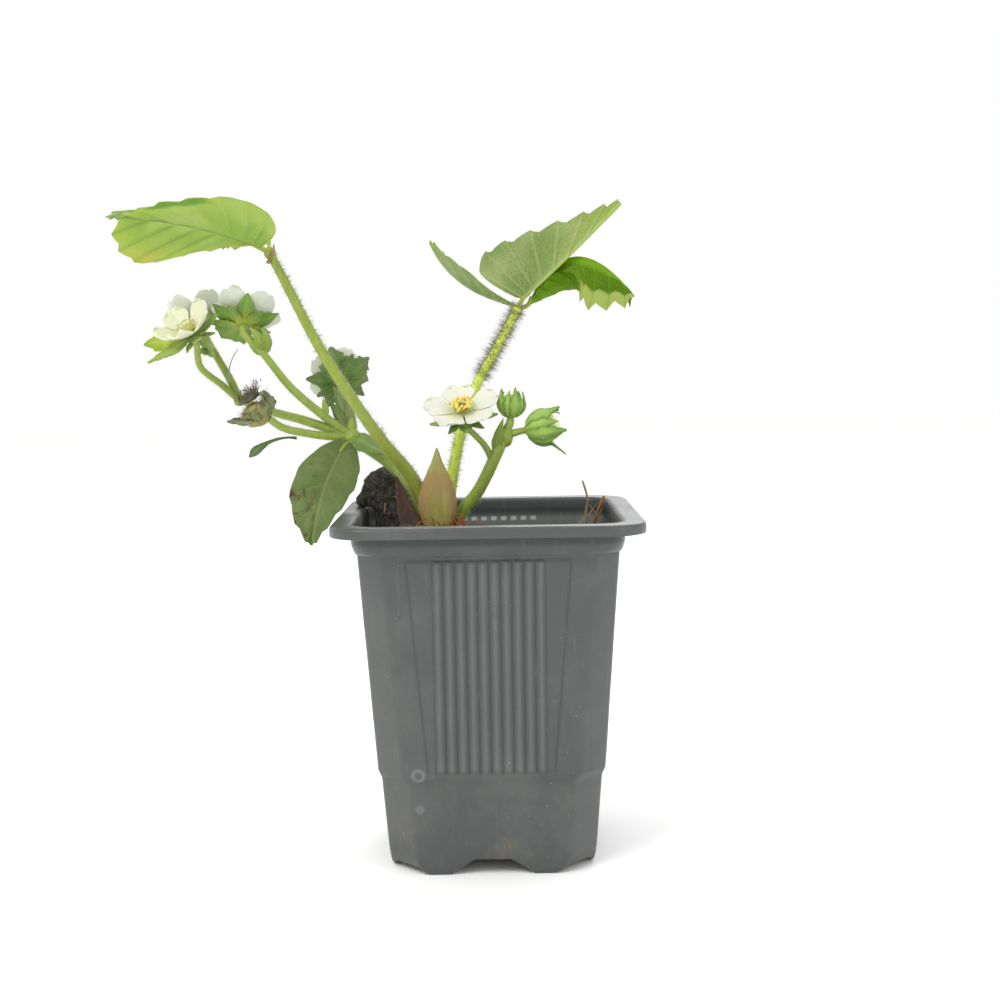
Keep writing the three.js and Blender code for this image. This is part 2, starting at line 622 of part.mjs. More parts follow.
// The faded flower: sepals folding back to the left, and a head of dry stamens
function addSpentFlower() {
  const group = new THREE.Group();
  flowerFrame(spent).decompose(group.position, group.quaternion, group.scale);
  const pieces = [ball([0, 0, 3.4], [4.6, 4.4, 3.6], 0.05, 1)];
  for (let k = 0; k < 8; k++) {
    const toLeft = (1 - Math.cos((k * Math.PI) / 4)) / 2;
    const out = 4.6 + 4.6 * toLeft + 1.2 * noise(k, 1, 2);
    const high = 9.4 - 4 * toLeft;
    const leaf = strap([3.4, 0, 1.8], [5.4, 0, 2.8], [out, 0, high], 1.7, [0, 0, 1],
      { steps: 3, ragged: 0.16, lines: [-1, 1] });
    pieces.push(leaf.rotateZ(radians(45 * k)));
  }
  addPiece('spent_flower_calyx', geometryOf(joined(pieces)), colours.spent, 0.8, group);
  const top = 7.2;
  const head = [ball([0, 0, top + 1.3], [3.5, 3.3, 1.3], 0.08, 1)];
  for (let k = 0; k < 10; k++) {
    const angle = k * 2.4;
    const out = 0.8 * Math.sqrt(k);
    const lean = 1 + 0.6 * noise(k, 6, 1);
    const foot = [out * Math.cos(angle), out * Math.sin(angle), top + 1.4];
    const tip = [foot[0] * (1 + 0.5 * lean), foot[1] * (1 + 0.5 * lean), top + 4.2 + 1.1 * noise(k, 9, 2)];
    head.push(stalk([foot, tip], [0.45, 0.3], 3, 1));
  }
  addPiece('spent_flower_stamens', geometryOf(joined(head)), colours.dry, 0.9, group);
  model.add(group);
}

// Pot, soil and crown
addPiece('pot', geometryOf(makePot()), colours.pot, 0.45);
addPiece('soil', geometryOf(makeSoil()), colours.soil, 0.95);
addPiece('crown', geometryOf(crownSolid()), colours.crown, 0.85);
addPiece('leaf_sheath', geometryOf(makeSheath()), colours.sheath, 0.7);

// Papery remains of old stipules round the crown
addPiece('brown_stipule', geometryOf(seated(solidOf(strap([-20, 0, 92.6], [-26, 2, 100],
  [-27.4, 3, 112.6], 2.6, [0.35, -0.9, 0], { steps: 6, fold: 0.25, ragged: 0.15 })))), colours.stipule, 0.9);
addPiece('front_stipule', geometryOf(seated(solidOf(strap([-18.6, -6, 92.6], [-22, -8.6, 97.6],
  [-26.2, -9.8, 99], 2.3, [0.3, -0.8, 0.5], { fold: 0.2, ragged: 0.2 })))), colours.stipule, 0.9);
addPiece('right_stipule', geometryOf(seated(solidOf(strap([-9, -6.4, 92], [-8.4, -9, 96.5],
  [-7.6, -9.4, 102], 1.9, [0.2, -0.9, 0.2], { fold: 0.2, ragged: 0.25 })))), colours.stipule, 0.9);

// Left leaf
const leftKnot = leftPetiole.route.at(-1);
const wing = strap([-17.5, -1.6, 99], [-19.5, -2.2, 109], [-27.5, -9, 119.5], 1.7, [0.25, -0.9, 0.1],
  { steps: 6 });
const leftKnotSolid = ball(leftKnot, [1.75, 1.75, 1.75], 0, 1);
addPiece('left_petiole', geometryOf(seated(joined([stalk(leftPetiole.route, leftPetiole.radii, 8, 14),
  leftKnotSolid, wing]))), colours.petiole, 0.55);
leaflet('left_leaflet_near', leftKnot, 1.75, {
  base: [-63.3, -21.8, 179.7], bow: [-78, -27, 186.4], tip: [-100.6, -33, 187.8],
  left: { width: 18, angle: 26, widest: 0.25, lobe: 3.4 },
  right: { width: 15.3, angle: -46, widest: 0.68, ahead: 2 },
}, colours.leafUnder);
leaflet('left_leaflet_end', leftKnot, 1.75, {
  base: [-63.6, -18.8, 180.2], bow: [-86, -8, 196], tip: [-110.8, 3, 190.6],
  left: { width: 13, angle: -4, widest: 0.56 }, right: { width: 12, angle: -14, widest: 0.5 }, teeth: 6,
}, colours.leafTop);
leaflet('left_leaflet_far', leftKnot, 1.75, {
  base: [-61, -16.2, 180.6], bow: [-66.5, 1, 203], tip: [-80, 25, 183],
  left: { width: 10.4, angle: -40, widest: 0.6 }, right: { width: 9, angle: -50, widest: 0.55 }, teeth: 5,
}, colours.leafTop);

// Right leaf
const rightKnot = rightPetiole.route.at(-1);
addPiece('right_petiole', geometryOf(seated(joined([stalk(rightPetiole.route, rightPetiole.radii, 8, 14),
  ball(rightKnot, [1.6, 1.6, 1.6], 0, 1)]))), colours.petiole, 0.55);
leaflet('right_leaflet_end', rightKnot, 1.6, {
  base: [11.4, 13.4, 165.2], bow: [24, 11.5, 176], tip: [41.6, 13, 193.6],
  left: { width: 14, angle: 84, widest: 0.3 }, right: { width: 17.4, angle: 28, widest: 0.12, lobe: 5.6 },
  upward: [-0.35, 0.75, 0.4],
}, colours.leafUnder);
leaflet('right_leaflet_side', rightKnot, 1.6, {
  base: [13, 15.8, 163.4], bow: [26, 16.6, 191.4], tip: [45.4, 11, 165.6],
  left: { width: 12, angle: -56, widest: 0.5 }, right: { width: 12.4, angle: -60, widest: 0.76 }, teeth: 6,
}, colours.leafTop);
leaflet('right_leaflet_back', rightKnot, 1.6, {
  base: [8.2, 17, 163.8], bow: [-10, 21, 170.4], tip: [-16.8, 24, 183.4],
  left: { width: 9.4, angle: 30, widest: 0.57 }, right: { width: 5, angle: 24, widest: 0.5 }, teeth: 6,
}, colours.leafUnder);

// Left flower stalks with their small bracts, grown together
const underFlower = (name) => stalkEnd(flowers[name], calyxDepth);
const leftStalks = [
  stalk([[-16.6, 3.4, 95], [-19.2, 5.6, 101.3], [-23.2, 8, 109.3], [-27.8, 10, 114.6],
    [-34.4, 10, 119.6], fork], [2.6, 2.1], 8, 9),
  stalk([fork, [-49, 6.6, 127.3], [-56.5, 6.6, 129.9], [-65.2, 8, 132.3], secondFork], [1.5, 1.2], 6, 7),
  stalk([secondFork, [-77.7, 8.5, 142.2], [-81.4, 9.8, 148.6], ...underFlower('back')], [1.3, 1], 6, 6),
  stalk([secondFork, [-79.6, 5.4, 140.6], [-85, 0.6, 146.2], ...underFlower('outer')], [1.1, 0.9], 6, 6),
  stalk([fork, [-50.3, 3.4, 124.8], [-58, 1, 126.4], [-63.4, -1.8, 127.4], ...stalkEnd(spent, 0)],
    [1.3, 1.1], 6, 7),
  stalk([fork, [-49.6, 5, 131.2], [-58.6, 3, 139.6], [-65.8, 0.6, 149.4], ...underFlower('top')],
    [1.35, 1.05], 6, 8),
  stalk([fork, [-41.6, 9.4, 129.6], [-43.4, 11.4, 135.6], ...underFlower('middle')], [1.8, 1.5], 6, 6),
  ball(fork, [2.6, 2.6, 2.6], 0.05, 1),
  ball(secondFork, [1.7, 1.6, 1.9], 0.05, 1),
  strap([-40.6, 6.6, 124.4], [-36, 5, 122.5], [-31.6, 6.2, 119], 2.6, [0.1, -0.8, 0.6],
    { steps: 3, fold: -0.2 }),
  strap([-66.2, 0.4, 149.8], [-63, -0.6, 154], [-66.4, -1, 157.4], 1.9, [0.8, -0.6, 0.1],
    { steps: 3, fold: -0.3 }),
  strap([-48.2, 5.4, 131.2], [-48.9, 5.6, 133.6], [-49.4, 5.4, 136.4], 0.8, [0, -1, 0.1],
    { steps: 2, lines: [-1, 1] }),
];
addPiece('left_flower_stalks', geometryOf(seated(joined(leftStalks))), colours.stalk, 0.6);
leaflet('hanging_bract', fork, 2.6, {
  base: [-43.6, 6, 120.6], bow: [-50.8, 2, 112], tip: [-53.6, 2, 92],
  left: { width: 8.4, angle: 0, widest: 0.36 }, right: { width: 9.2, angle: 12, widest: 0.6 },
  upward: [0.1, -1, 0.1], teeth: 5, toothDepth: 0.8,
}, colours.oldLeaf);
addPiece('strap_bract', strap([-57, 0.4, 124.6], [-64.5, -2.4, 126], [-70.6, -3.4, 119.4], 1.3,
  [0.2, -0.6, 0.7], { steps: 6, wide: 0.7 }), colours.oldLeaf, 0.7);

// Dry bits of straw and root that stand in the soil at the right
Object.entries(straws).forEach(([name, straw]) => {
  addPiece(name, stalk(straw.route, straw.radii, 6, 5), colours.dry, 0.9);
});

// Right flower stalks with the sheath where they divide
const rightStalks = [
  stalk([[-10.6, -3, 95], [-7.4, -4.6, 102.6], [-3.2, -6, 107.9], [0.8, -8, 115.4], [3.6, -9, 121.4],
    rightFork], [1.9, 1.7], 8, 9),
  stalk([[1.6, -8.2, 117.2], [-0.6, -9.2, 122], ...underFlower('right')], [1, 0.8], 6, 5),
  stalk([rightFork, [6.2, -9, 127.4], ...stalkEnd(buds.upright, 0)], [1.5, 1], 6, 3),
  stalk([rightFork, [7.6, -9, 125.6], ...stalkEnd(buds.side, 0)], [1.2, 0.9], 6, 3),
  ball([5.4, -9, 124.6], [2.3, 2.1, 3], 0.04, 1),
  strap([3.4, -9.6, 121.4], [2.4, -11.6, 126], [5.4, -11.6, 130], 1.6, [-0.3, -1, 0],
    { steps: 3, fold: -0.3 }),
];
addPiece('right_flower_stalks', geometryOf(seated(joined(rightStalks))), colours.stalk, 0.6);

Object.entries(flowers).forEach(([name, shape]) => addFlower(name, shape));
addBud('upright_bud', buds.upright);
addBud('side_bud', buds.side);
addSpentFlower();

export default model;
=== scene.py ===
import bpy
import math
import random
import numpy as np
from mathutils import Matrix, Vector, noise


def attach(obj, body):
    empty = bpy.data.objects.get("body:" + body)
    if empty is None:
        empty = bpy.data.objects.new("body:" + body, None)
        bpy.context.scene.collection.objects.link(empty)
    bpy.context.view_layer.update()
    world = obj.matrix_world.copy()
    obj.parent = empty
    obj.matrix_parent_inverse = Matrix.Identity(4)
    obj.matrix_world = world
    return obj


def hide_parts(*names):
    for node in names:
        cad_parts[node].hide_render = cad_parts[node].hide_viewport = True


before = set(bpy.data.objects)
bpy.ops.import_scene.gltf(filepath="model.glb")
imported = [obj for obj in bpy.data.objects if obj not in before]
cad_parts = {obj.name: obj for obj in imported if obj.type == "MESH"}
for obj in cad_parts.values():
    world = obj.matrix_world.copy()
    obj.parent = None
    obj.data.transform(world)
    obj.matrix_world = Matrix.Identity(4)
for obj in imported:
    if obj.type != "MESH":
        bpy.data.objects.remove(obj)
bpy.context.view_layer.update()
mm = 0.001
pi = math.pi
chance = random.Random(11)


def deselectAll():
    bpy.ops.object.select_all(action="DESELECT")


def selectOnly(*pieces):
    deselectAll()
    for piece in pieces:
        piece.select_set(True)
    bpy.context.view_layer.objects.active = pieces[0]


def editAll(piece, *steps):
    selectOnly(piece)
    bpy.ops.object.mode_set(mode="EDIT")
    for step in steps:
        bpy.ops.mesh.select_all(action="SELECT")
        step()
    bpy.ops.object.mode_set(mode="OBJECT")


def mergeClose(distance=2e-6):
    bpy.ops.mesh.remove_doubles(threshold=distance)


def closeEnds():
    bpy.ops.mesh.fill_holes(sides=0)
    bpy.ops.mesh.normals_make_consistent(inside=False)


def applyModifier(piece, kind, **settings):
    selectOnly(piece)
    modifier = piece.modifiers.new(kind.title(), kind)
    for key, value in settings.items():
        setattr(modifier, key, value)
    bpy.ops.object.modifier_apply(modifier=modifier.name)


def smoothShade(piece, angle):
    selectOnly(piece)
    bpy.ops.object.shade_smooth_by_angle(angle=math.radians(angle))


def joinPieces(name, pieces):
    selectOnly(*pieces)
    if len(pieces) > 1:
        bpy.ops.object.join()
    piece = bpy.context.view_layer.objects.active
    piece.name = name
    return piece


def linked(name, mesh):
    piece = bpy.data.objects.new(name, mesh)
    bpy.context.scene.collection.objects.link(piece)
    return piece


def pointsOf(piece):
    return np.array([v.co for v in piece.data.vertices]) / mm


def unit(v):
    v = np.asarray(v, float)
    return v / np.linalg.norm(v, axis=-1, keepdims=True)


def polar(angle, radius, z):
    return np.array([radius * math.cos(angle), radius * math.sin(angle), z])


def smoothStep(value, low, high):
    t = np.clip((np.asarray(value, float) - low) / (high - low), 0, 1)
    return t * t * (3 - 2 * t)


def bump(value, width):
    return np.exp(-(value / width) ** 2)


# A flat grid whose points are moved, row by row, to the given places in mm. Marks become attributes.
# Flipped rows run the other way, so that the faces look to the other side.
def gridPiece(name, rows, closed=False, marks=None, flipped=True):
    layers = {"rows": np.asarray(rows, float), **(marks or {})}
    if flipped:
        layers = {key: value[:, ::-1] for key, value in layers.items()}
    if closed:
        layers = {key: np.concatenate([value, value[:, :1]], 1) for key, value in layers.items()}
    rows = layers.pop("rows")
    down, across = rows.shape[:2]
    deselectAll()
    bpy.ops.mesh.primitive_grid_add(x_subdivisions=across - 1, y_subdivisions=down - 1, size=2)
    piece = bpy.context.active_object
    piece.name = name
    flat = np.array([v.co for v in piece.data.vertices])
    i = np.rint((flat[:, 1] + 1) / 2 * (down - 1)).astype(int)
    j = np.rint((flat[:, 0] + 1) / 2 * (across - 1)).astype(int)
    piece.data.vertices.foreach_set("co", (rows[i, j] * mm).ravel())
    for key, value in layers.items():
        attribute = piece.data.attributes.new(key, "FLOAT", "POINT")
        attribute.data.foreach_set("value", value[i, j].astype(np.float32))
    piece.data.update()
    if closed:
        editAll(piece, mergeClose)
    return piece


# Curves: a list of points close together, with the distance run at each
def measured(points):
    points = np.asarray(points, float)
    steps = np.linalg.norm(np.diff(points, axis=0), axis=1)
    return points, np.concatenate([[0], np.cumsum(steps)])


def placeOn(curve, distance):
    points, run = curve
    where = np.clip(distance, 0, run[-1])
    return np.stack([np.interp(where, run, points[:, k]) for k in range(3)], -1)


def directionOn(curve, distance):
    step = curve[1][-1] * 0.01
    where = np.clip(distance, step, curve[1][-1] - step)
    return unit(placeOn(curve, where + step) - placeOn(curve, where - step))


def bowCurve(base, bow, tip):
    t = np.linspace(0, 1, 120)[:, None]
    base, bow, tip = (np.array(p, float) for p in (base, bow, tip))
    return measured((1 - t) ** 2 * base + 2 * t * (1 - t) * bow + t * t * tip)


# A smooth curve through all points of the route, with its bends spread by the points' distances
def routeCurve(route):
    p = [np.array(q, float) for q in route]
    p = [2 * p[0] - p[1]] + p + [2 * p[-1] - p[-2]]
    points = []
    for k in range(1, len(p) - 2):
        gaps = [max(1e-4, np.linalg.norm(p[k + s] - p[k + s - 1]) ** 0.5) for s in (0, 1, 2)]
        here = p[k + 1] - p[k]
        a = (p[k] - p[k - 1]) / gaps[0] - (p[k + 1] - p[k - 1]) / (gaps[0] + gaps[1]) + here / gaps[1]
        b = here / gaps[1] - (p[k + 2] - p[k]) / (gaps[1] + gaps[2]) + (p[k + 2] - p[k + 1]) / gaps[2]
        a, b = a * gaps[1], b * gaps[1]
        for t in np.linspace(0, 1, 24, endpoint=k == len(p) - 3):
            points.append(p[k] + a * t + (3 * here - 2 * a - b) * t ** 2 + (a + b - 2 * here) * t ** 3)
    return measured(points)


# A round stalk along a route; swell(t) widens it, and its outside can be asked for places to put hairs
def stalkSurface(route, radii, swell=None, sides=18, spacing=0.7):
    curve = routeCurve(route)
    count = max(6, int(curve[1][-1] / spacing))
    run = np.linspace(0, curve[1][-1], count + 1)
    centre, ahead = placeOn(curve, run), directionOn(curve, run)
    normal = unit(np.cross(ahead[0], [0.31, 0.9, 0.2]))
    normals = []
    for d in ahead:
        normal = unit(normal - d * np.dot(normal, d))
        normals.append(normal)
    normals = np.array(normals)
    others = np.cross(ahead, normals)
    t = run / run[-1]
    radius = radii[0] + (radii[1] - radii[0]) * t
    if swell:
        radius = radius * np.array([swell(k) for k in t])
    angle = np.linspace(0, 2 * pi, sides, endpoint=False)
    out = normals[:, None] * np.cos(angle)[:, None] + others[:, None] * np.sin(angle)[:, None]
    ridge = 1 + 0.025 * np.cos(angle * 5)
    rows = centre[:, None] + out * (radius[:, None] * ridge)[..., None]
    return {"rows": rows, "out": out, "ahead": ahead, "t": np.repeat(t[:, None], sides, 1)}


def tubePiece(name, rows, marks=None):
    piece = gridPiece(name, rows, closed=True, marks=marks)
    editAll(piece, closeEnds)
    return piece


def stalkPiece(name, surface):
    return tubePiece(name, surface["rows"], {"along": surface["t"]})


def lumpPiece(name, place, size, roughness=0.0, levels=3):
    deselectAll()
    bpy.ops.mesh.primitive_ico_sphere_add(subdivisions=levels, radius=1)
    piece = bpy.context.active_object
    piece.name = name
    for v in piece.data.vertices:
        swell = 1 + roughness * noise.noise(v.co * 2.3 + Vector(place) * 0.37)
        v.co = Vector([(place[k] + v.co[k] * size[k] * swell) * mm for k in range(3)])
    return piece


# Small forms that are copied many times: their points and faces
def formOf(piece, scale=mm):
    form = np.array([v.co for v in piece.data.vertices]) / scale, [list(p.vertices) for p in piece.data.polygons]
    bpy.data.objects.remove(piece)
    return form


def smallBall(levels):
    return formOf(lumpPiece("smallBall", (0, 0, 0), (1, 1, 1), 0.0, levels))


def hairCone():
    deselectAll()
    bpy.ops.mesh.primitive_cone_add(vertices=3, radius1=1, radius2=0.12, depth=1, location=(0, 0, 0.5))
    piece = bpy.context.active_object
    bpy.ops.object.transform_apply(location=True)
    editAll(piece, lambda: bpy.ops.mesh.bisect(plane_co=(0, 0, 0.5), plane_no=(0, 0, 1)),
            lambda: bpy.ops.mesh.quads_convert_to_tris())
    return formOf(piece, 1)


hairForm, seedForm, antherForm = hairCone(), smallBall(1), smallBall(2)


# One mesh from many copies of a form; groups holds the points of each copy
def copiesPiece(name, groups, faces):
    size = len(groups[0])
    mesh = bpy.data.meshes.new(name)
    mesh.from_pydata((np.concatenate(groups) * mm).tolist(), [],
                     [[v + k * size for v in face] for k in range(len(groups)) for face in faces])
    return linked(name, mesh)


# Every spot is a place, a way and a size; the form's long axis points that way
def lumps(name, form, spots, finish):
    points, faces = form
    groups = []
    for place, way, size in spots:
        z = unit(way)
        x = unit(np.cross(z, [0.3, 0.9, 0.31]))
        groups.append(np.asarray(place, float) + (points * np.asarray(size)) @ np.stack([x, np.cross(z, x), z]))
    return coated(copiesPiece(name, groups, faces), finish)


# Every hair is a root, a way and a length
def hairPiece(name, hairs, width, finish, bend=0.25):
    roots, ways, lengths = (np.array(part, float) for part in zip(*hairs))
    ways, lengths = unit(ways)[:, None], lengths[:, None, None]
    turns = np.array([[chance.uniform(-1, 1) for _ in range(3)] for _ in roots])
    side = unit(np.cross(ways[:, 0], turns))
    other = np.cross(ways[:, 0], side)[:, None]
    side = side[:, None]
    points, faces = hairForm
    x, y, z = (points[None, :, k:k + 1] for k in range(3))
    places = roots[:, None] + (side * x + other * y) * width + ways * z * lengths + side * (bend * z ** 2 * lengths)
    return dress(copiesPiece(name, places, faces), finish)


def hairsOnStalk(name, surface, count, length, width, finish, favour=None, start=0.0, end=1.0, lean=0.25):
    rows, out = surface["rows"], surface["out"]
    hairs = []
    while len(hairs) < count:
        i = int(chance.uniform(start, end) * (len(rows) - 1))
        j = chance.randrange(rows.shape[1])
        way = out[i, j]
        if favour is not None and chance.random() > 0.18 + 0.82 * max(0.0, float(np.dot(way, favour))):
            continue
        j2, i2 = (j + 1) % rows.shape[1], min(i + 1, len(rows) - 1)
        a, b = chance.random(), chance.random()
        root = (rows[i, j] * (1 - a) + rows[i, j2] * a) * (1 - b) + (rows[i2, j] * (1 - a) + rows[i2, j2] * a) * b
        heading = way + surface["ahead"][i] * chance.uniform(-0.1, lean) + [chance.uniform(-0.2, 0.2) for _ in range(3)]
        hairs.append((root - way * 0.05, heading, length * chance.uniform(0.5, 1.15)))
    hairPiece(name, hairs, width, finish)


# Colours are given as red, green and blue from 0 to 255
def paint(colour):
    return tuple(c / 255 / 12.92 if c <= 10 else ((c / 255 + 0.055) / 1.055) ** 2.4 for c in colour) + (1.0,)


class Finish:
    def __init__(self, name, roughness=0.5, **sockets):
        self.mat = bpy.data.materials.new(name)
        self.mat.use_nodes = True
        self.tree = self.mat.node_tree
        self.shader = self.tree.nodes["Principled BSDF"]
        settings = {"Roughness": roughness, "Subsurface Radius": (1.0, 1.0, 0.7), **sockets}
        for key, value in settings.items():
            self.shader.inputs[key.replace("_", " ")].default_value = value
        self.place = self.add("ShaderNodeTexCoord").outputs["Object"]
        self.skin = None

    def add(self, kind, **settings):
        node = self.tree.nodes.new(kind)
        for key, value in settings.items():
            setattr(node, key, value)
        return node

    def put(self, socket, value):
        if isinstance(value, bpy.types.NodeSocket):
            self.tree.links.new(value, socket)
        else:
            socket.default_value = paint(value) if isinstance(value, tuple) else value

    def texture(self, kind, scale, stretch=(1, 1, 1), **settings):
        mapping = self.add("ShaderNodeMapping")
        self.put(mapping.inputs["Vector"], self.place)
        mapping.inputs["Scale"].default_value = stretch
        node = self.add(kind, **settings)
        self.put(node.inputs["Vector"], mapping.outputs["Vector"])
        node.inputs["Scale"].default_value = scale / mm
        return node

    # scale is given in cycles per millimetre, and upright stretches the grain along Z
    def grain(self, scale, detail=2.0, upright=1.0, rough=0.5):
        node = self.texture("ShaderNodeTexNoise", scale, (1, 1, upright))
        node.inputs["Detail"].default_value = detail
        node.inputs["Roughness"].default_value = rough
        return node.outputs["Fac"]

    def cells(self, scale):
        return self.texture("ShaderNodeTexVoronoi", scale, feature="DISTANCE_TO_EDGE").outputs["Distance"]

    def mark(self, name):
        return self.add("ShaderNodeAttribute", attribute_name=name).outputs["Fac"]

    def spread(self, value, low, high, start=0.0, end=1.0):
        node = self.add("ShaderNodeMapRange", interpolation_type="SMOOTHSTEP")
        self.put(node.inputs["Value"], value)
        for key, number in (("From Min", low), ("From Max", high), ("To Min", start), ("To Max", end)):
            node.inputs[key].default_value = number
        return node.outputs["Result"]

    def sum(self, how, a, b=0.0):
        node = self.add("ShaderNodeMath", operation=how, use_clamp=how == "MULTIPLY")
        self.put(node.inputs[0], a)
        self.put(node.inputs[1], b)
        return node.outputs["Value"]

    def product(self, first, *others):
        for other in others:
            first = self.sum("MULTIPLY", first, other)
        return first

    def blend(self, factor, a, b):
        node = self.add("ShaderNodeMix", data_type="RGBA")
        self.put(node.inputs["Factor"], factor)
        self.put(node.inputs[6], a)
        self.put(node.inputs[7], b)
        return node.outputs[2]

    def height(self, axis="Z"):
        node = self.add("ShaderNodeSeparateXYZ")
        self.put(node.inputs["Vector"], self.place)
        return node.outputs[axis]

    def colour(self, value):
        self.skin = value
        self.put(self.shader.inputs["Base Color"], value)

    # One more colour over those that are there, where the product of the factors says
    def coat(self, colour, *factors):
        self.colour(self.blend(self.product(*factors), self.skin, colour))

    def bump(self, value, distance, strength=1.0):
        node = self.add("ShaderNodeBump")
        self.put(node.inputs["Height"], value)
        node.inputs["Distance"].default_value = distance * mm
        node.inputs["Strength"].default_value = strength
        previous = self.shader.inputs["Normal"].links
        if previous:
            self.put(node.inputs["Normal"], previous[0].from_socket)
        self.put(self.shader.inputs["Normal"], node.outputs["Normal"])


# Two colours mixed in grains. grains: scale, detail and stretch along Z. relief: the same and depth and strength.
def grainFinish(name, roughness, low, high, grains, relief=None, **sockets):
    finish = Finish(name, roughness, **sockets)
    finish.colour(finish.blend(finish.grain(*grains), low, high))
    if relief:
        finish.bump(finish.grain(*relief[:3]), *relief[3:])
    return finish


def coated(piece, finish):
    piece.data.materials.clear()
    piece.data.materials.append(finish.mat)
    return piece


def settle(piece, node=None):
    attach(piece, "root")
    if node:
        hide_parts(node)
    return piece


def dress(piece, finish, node=None):
    return settle(coated(piece, finish), node)


def grownTogether(name, node, pieces, angle=55):
    piece = joinPieces(name, pieces)
    smoothShade(piece, angle)
    return settle(piece, node)


# A blade (leaf, bract, petal, sepal) from its upper face: thickened downwards, thicker along veins
def bladePiece(name, rows, thickness, marks, finishes, veins=None, flipped=True):
    piece = gridPiece(name, rows, marks=marks, flipped=flipped)
    for finish in finishes:
        piece.data.materials.append(finish.mat)
    settings = {"thickness": thickness * mm, "offset": 0.0, "material_offset": 1, "use_quality_normals": True}
    if veins is not None:
        group = piece.vertex_groups.new(name="veins")
        values = np.empty(len(piece.data.vertices), np.float32)
        piece.data.attributes["vein"].data.foreach_get("value", values)
        for k, value in enumerate(values):
            group.add([k], float(min(1, max(0, value))), "REPLACE")
        settings.update(vertex_group="veins", thickness_vertex_group=veins, offset=-1.0)
    applyModifier(piece, "SOLIDIFY", **settings)
    piece.vertex_groups.clear()
    return piece


print("camera, floor and light")
view = {"place": (0.0024, -0.4528, 0.1498), "down": 5.64, "left": -0.15, "roll": -0.87, "lens": 54.54}
bpy.ops.object.camera_add(location=view["place"])
camera = bpy.context.active_object
camera.data.lens = view["lens"]
camera.data.sensor_width = 36
camera.data.clip_start = 0.01
yaw, pitch, roll = (math.radians(view[key]) for key in ("left", "down", "roll"))
ahead = Vector((-math.sin(yaw) * math.cos(pitch), math.cos(yaw) * math.cos(pitch), -math.sin(pitch)))
level = Vector((math.cos(yaw), math.sin(yaw), 0))
upward = level.cross(ahead)
right = level * math.cos(roll) + upward * math.sin(roll)
upward = upward * math.cos(roll) - level * math.sin(roll)
camera.matrix_world = Matrix.Translation(view["place"]) @ Matrix((right, upward, -ahead)).transposed().to_4x4()
bpy.context.scene.camera = camera

floorFinish = grainFinish("paleFloor", 0.9, (253, 253, 252), (255, 255, 255), (0.004,), Specular_IOR_Level=0.1)
deselectAll()
bpy.ops.mesh.primitive_plane_add(size=6, location=(0, 0, -0.0002))
floor = coated(bpy.context.active_object, floorFinish)
floor.name = "floor"

bpy.context.scene.view_settings.view_transform = "Standard"
world = bpy.data.worlds.new("paleRoom")
bpy.context.scene.world = world
world.use_nodes = True
background = world.node_tree.nodes["Background"]
background.inputs["Color"].default_value = (1.0, 1.0, 1.0, 1.0)
background.inputs["Strength"].default_value = 1.0


def softLight(name, place, target, size, power, tint=(1, 1, 1)):
    bpy.ops.object.light_add(type="AREA", location=place)
    light = bpy.context.active_object
    light.name = name
    light.data.shape = "DISK"
    light.data.size = size
    light.data.energy = power
    light.data.color = tint
    light.rotation_euler = (Vector(target) - Vector(place)).to_track_quat("-Z", "Y").to_euler()


softLight("keyLight", (-0.5, -0.55, 0.85), (-0.02, 0, 0.12), 0.5, 5.0, (1.0, 0.99, 0.96))
softLight("fillLight", (0.7, -0.6, 0.4), (0, 0, 0.1), 0.7, 1.2, (0.97, 0.99, 1.0))
softLight("backLight", (0.15, 0.7, 0.6), (0, 0, 0.12), 0.6, 2.5)


print("finishes")
plastic = Finish("potPlastic", 0.42, Specular_IOR_Level=0.5)
dust = plastic.spread(plastic.grain(0.05, 5, rough=0.62), 0.42, 0.72)
plastic.colour(plastic.blend(dust, (69, 72, 71), (84, 86, 85)))


def band(low, high, soft=0.0008):
    return plastic.product(plastic.spread(plastic.height(), low - soft, low + soft),
                           plastic.spread(plastic.height(), high + soft, high - soft))


def absolute(value):
    return plastic.sum("ABSOLUTE", value)


def farFrom(x, z):
    dx, dz = plastic.sum("ADD", plastic.height("X"), -x), plastic.sum("ADD", plastic.height(), -z)
    return plastic.sum("SQRT", plastic.sum("ADD", plastic.product(dx, dx), plastic.product(dz, dz)))


# Painted shade in the valley where each flute meets the next, and a painted highlight along each flute's ridge; a row
# runs along X on two sides and along Y on the others
flutePitch = 0.0032
fluteBand = band(0.0304, 0.0918)
for axis in ("X", "Y"):
    across = plastic.height(axis)
    wave = absolute(plastic.sum("SINE", plastic.sum("DIVIDE", across, flutePitch / pi)))
    inRow = plastic.spread(absolute(across), 0.0163, 0.0157)
    plastic.coat((44, 49, 47), plastic.spread(wave, 0.7, 0.05, 0, 0.75), inRow, fluteBand)
    plastic.coat((98, 103, 100), plastic.spread(wave, 0.75, 1.0, 0, 0.45), inRow, fluteBand)
    if axis == "X":
        # Inside the back wall: a painted lighter band where light falls, a row of painted highlights on the inner
        # flutes at the collar's step, and painted shade high up under the rim
        inside = plastic.product(plastic.spread(plastic.height("Y"), 0.03, 0.034),
                                 plastic.spread(plastic.height("Y"), 0.03805, 0.0378))
        plastic.coat((98, 102, 100), inside, plastic.spread(plastic.height(), 0.086, 0.09, 0, 0.45))
        plastic.coat((178, 182, 181), inside, plastic.spread(wave, 0.5, 0.8, 0, 0.7), inRow,
                     band(0.0949, 0.0961, 0.0003))
        plastic.coat((46, 50, 51), inside, band(0.0970, 0.1035))
# Painted shade on the collar under the rim
plastic.coat((48, 52, 51), band(0.0962, 0.0985), 0.75)

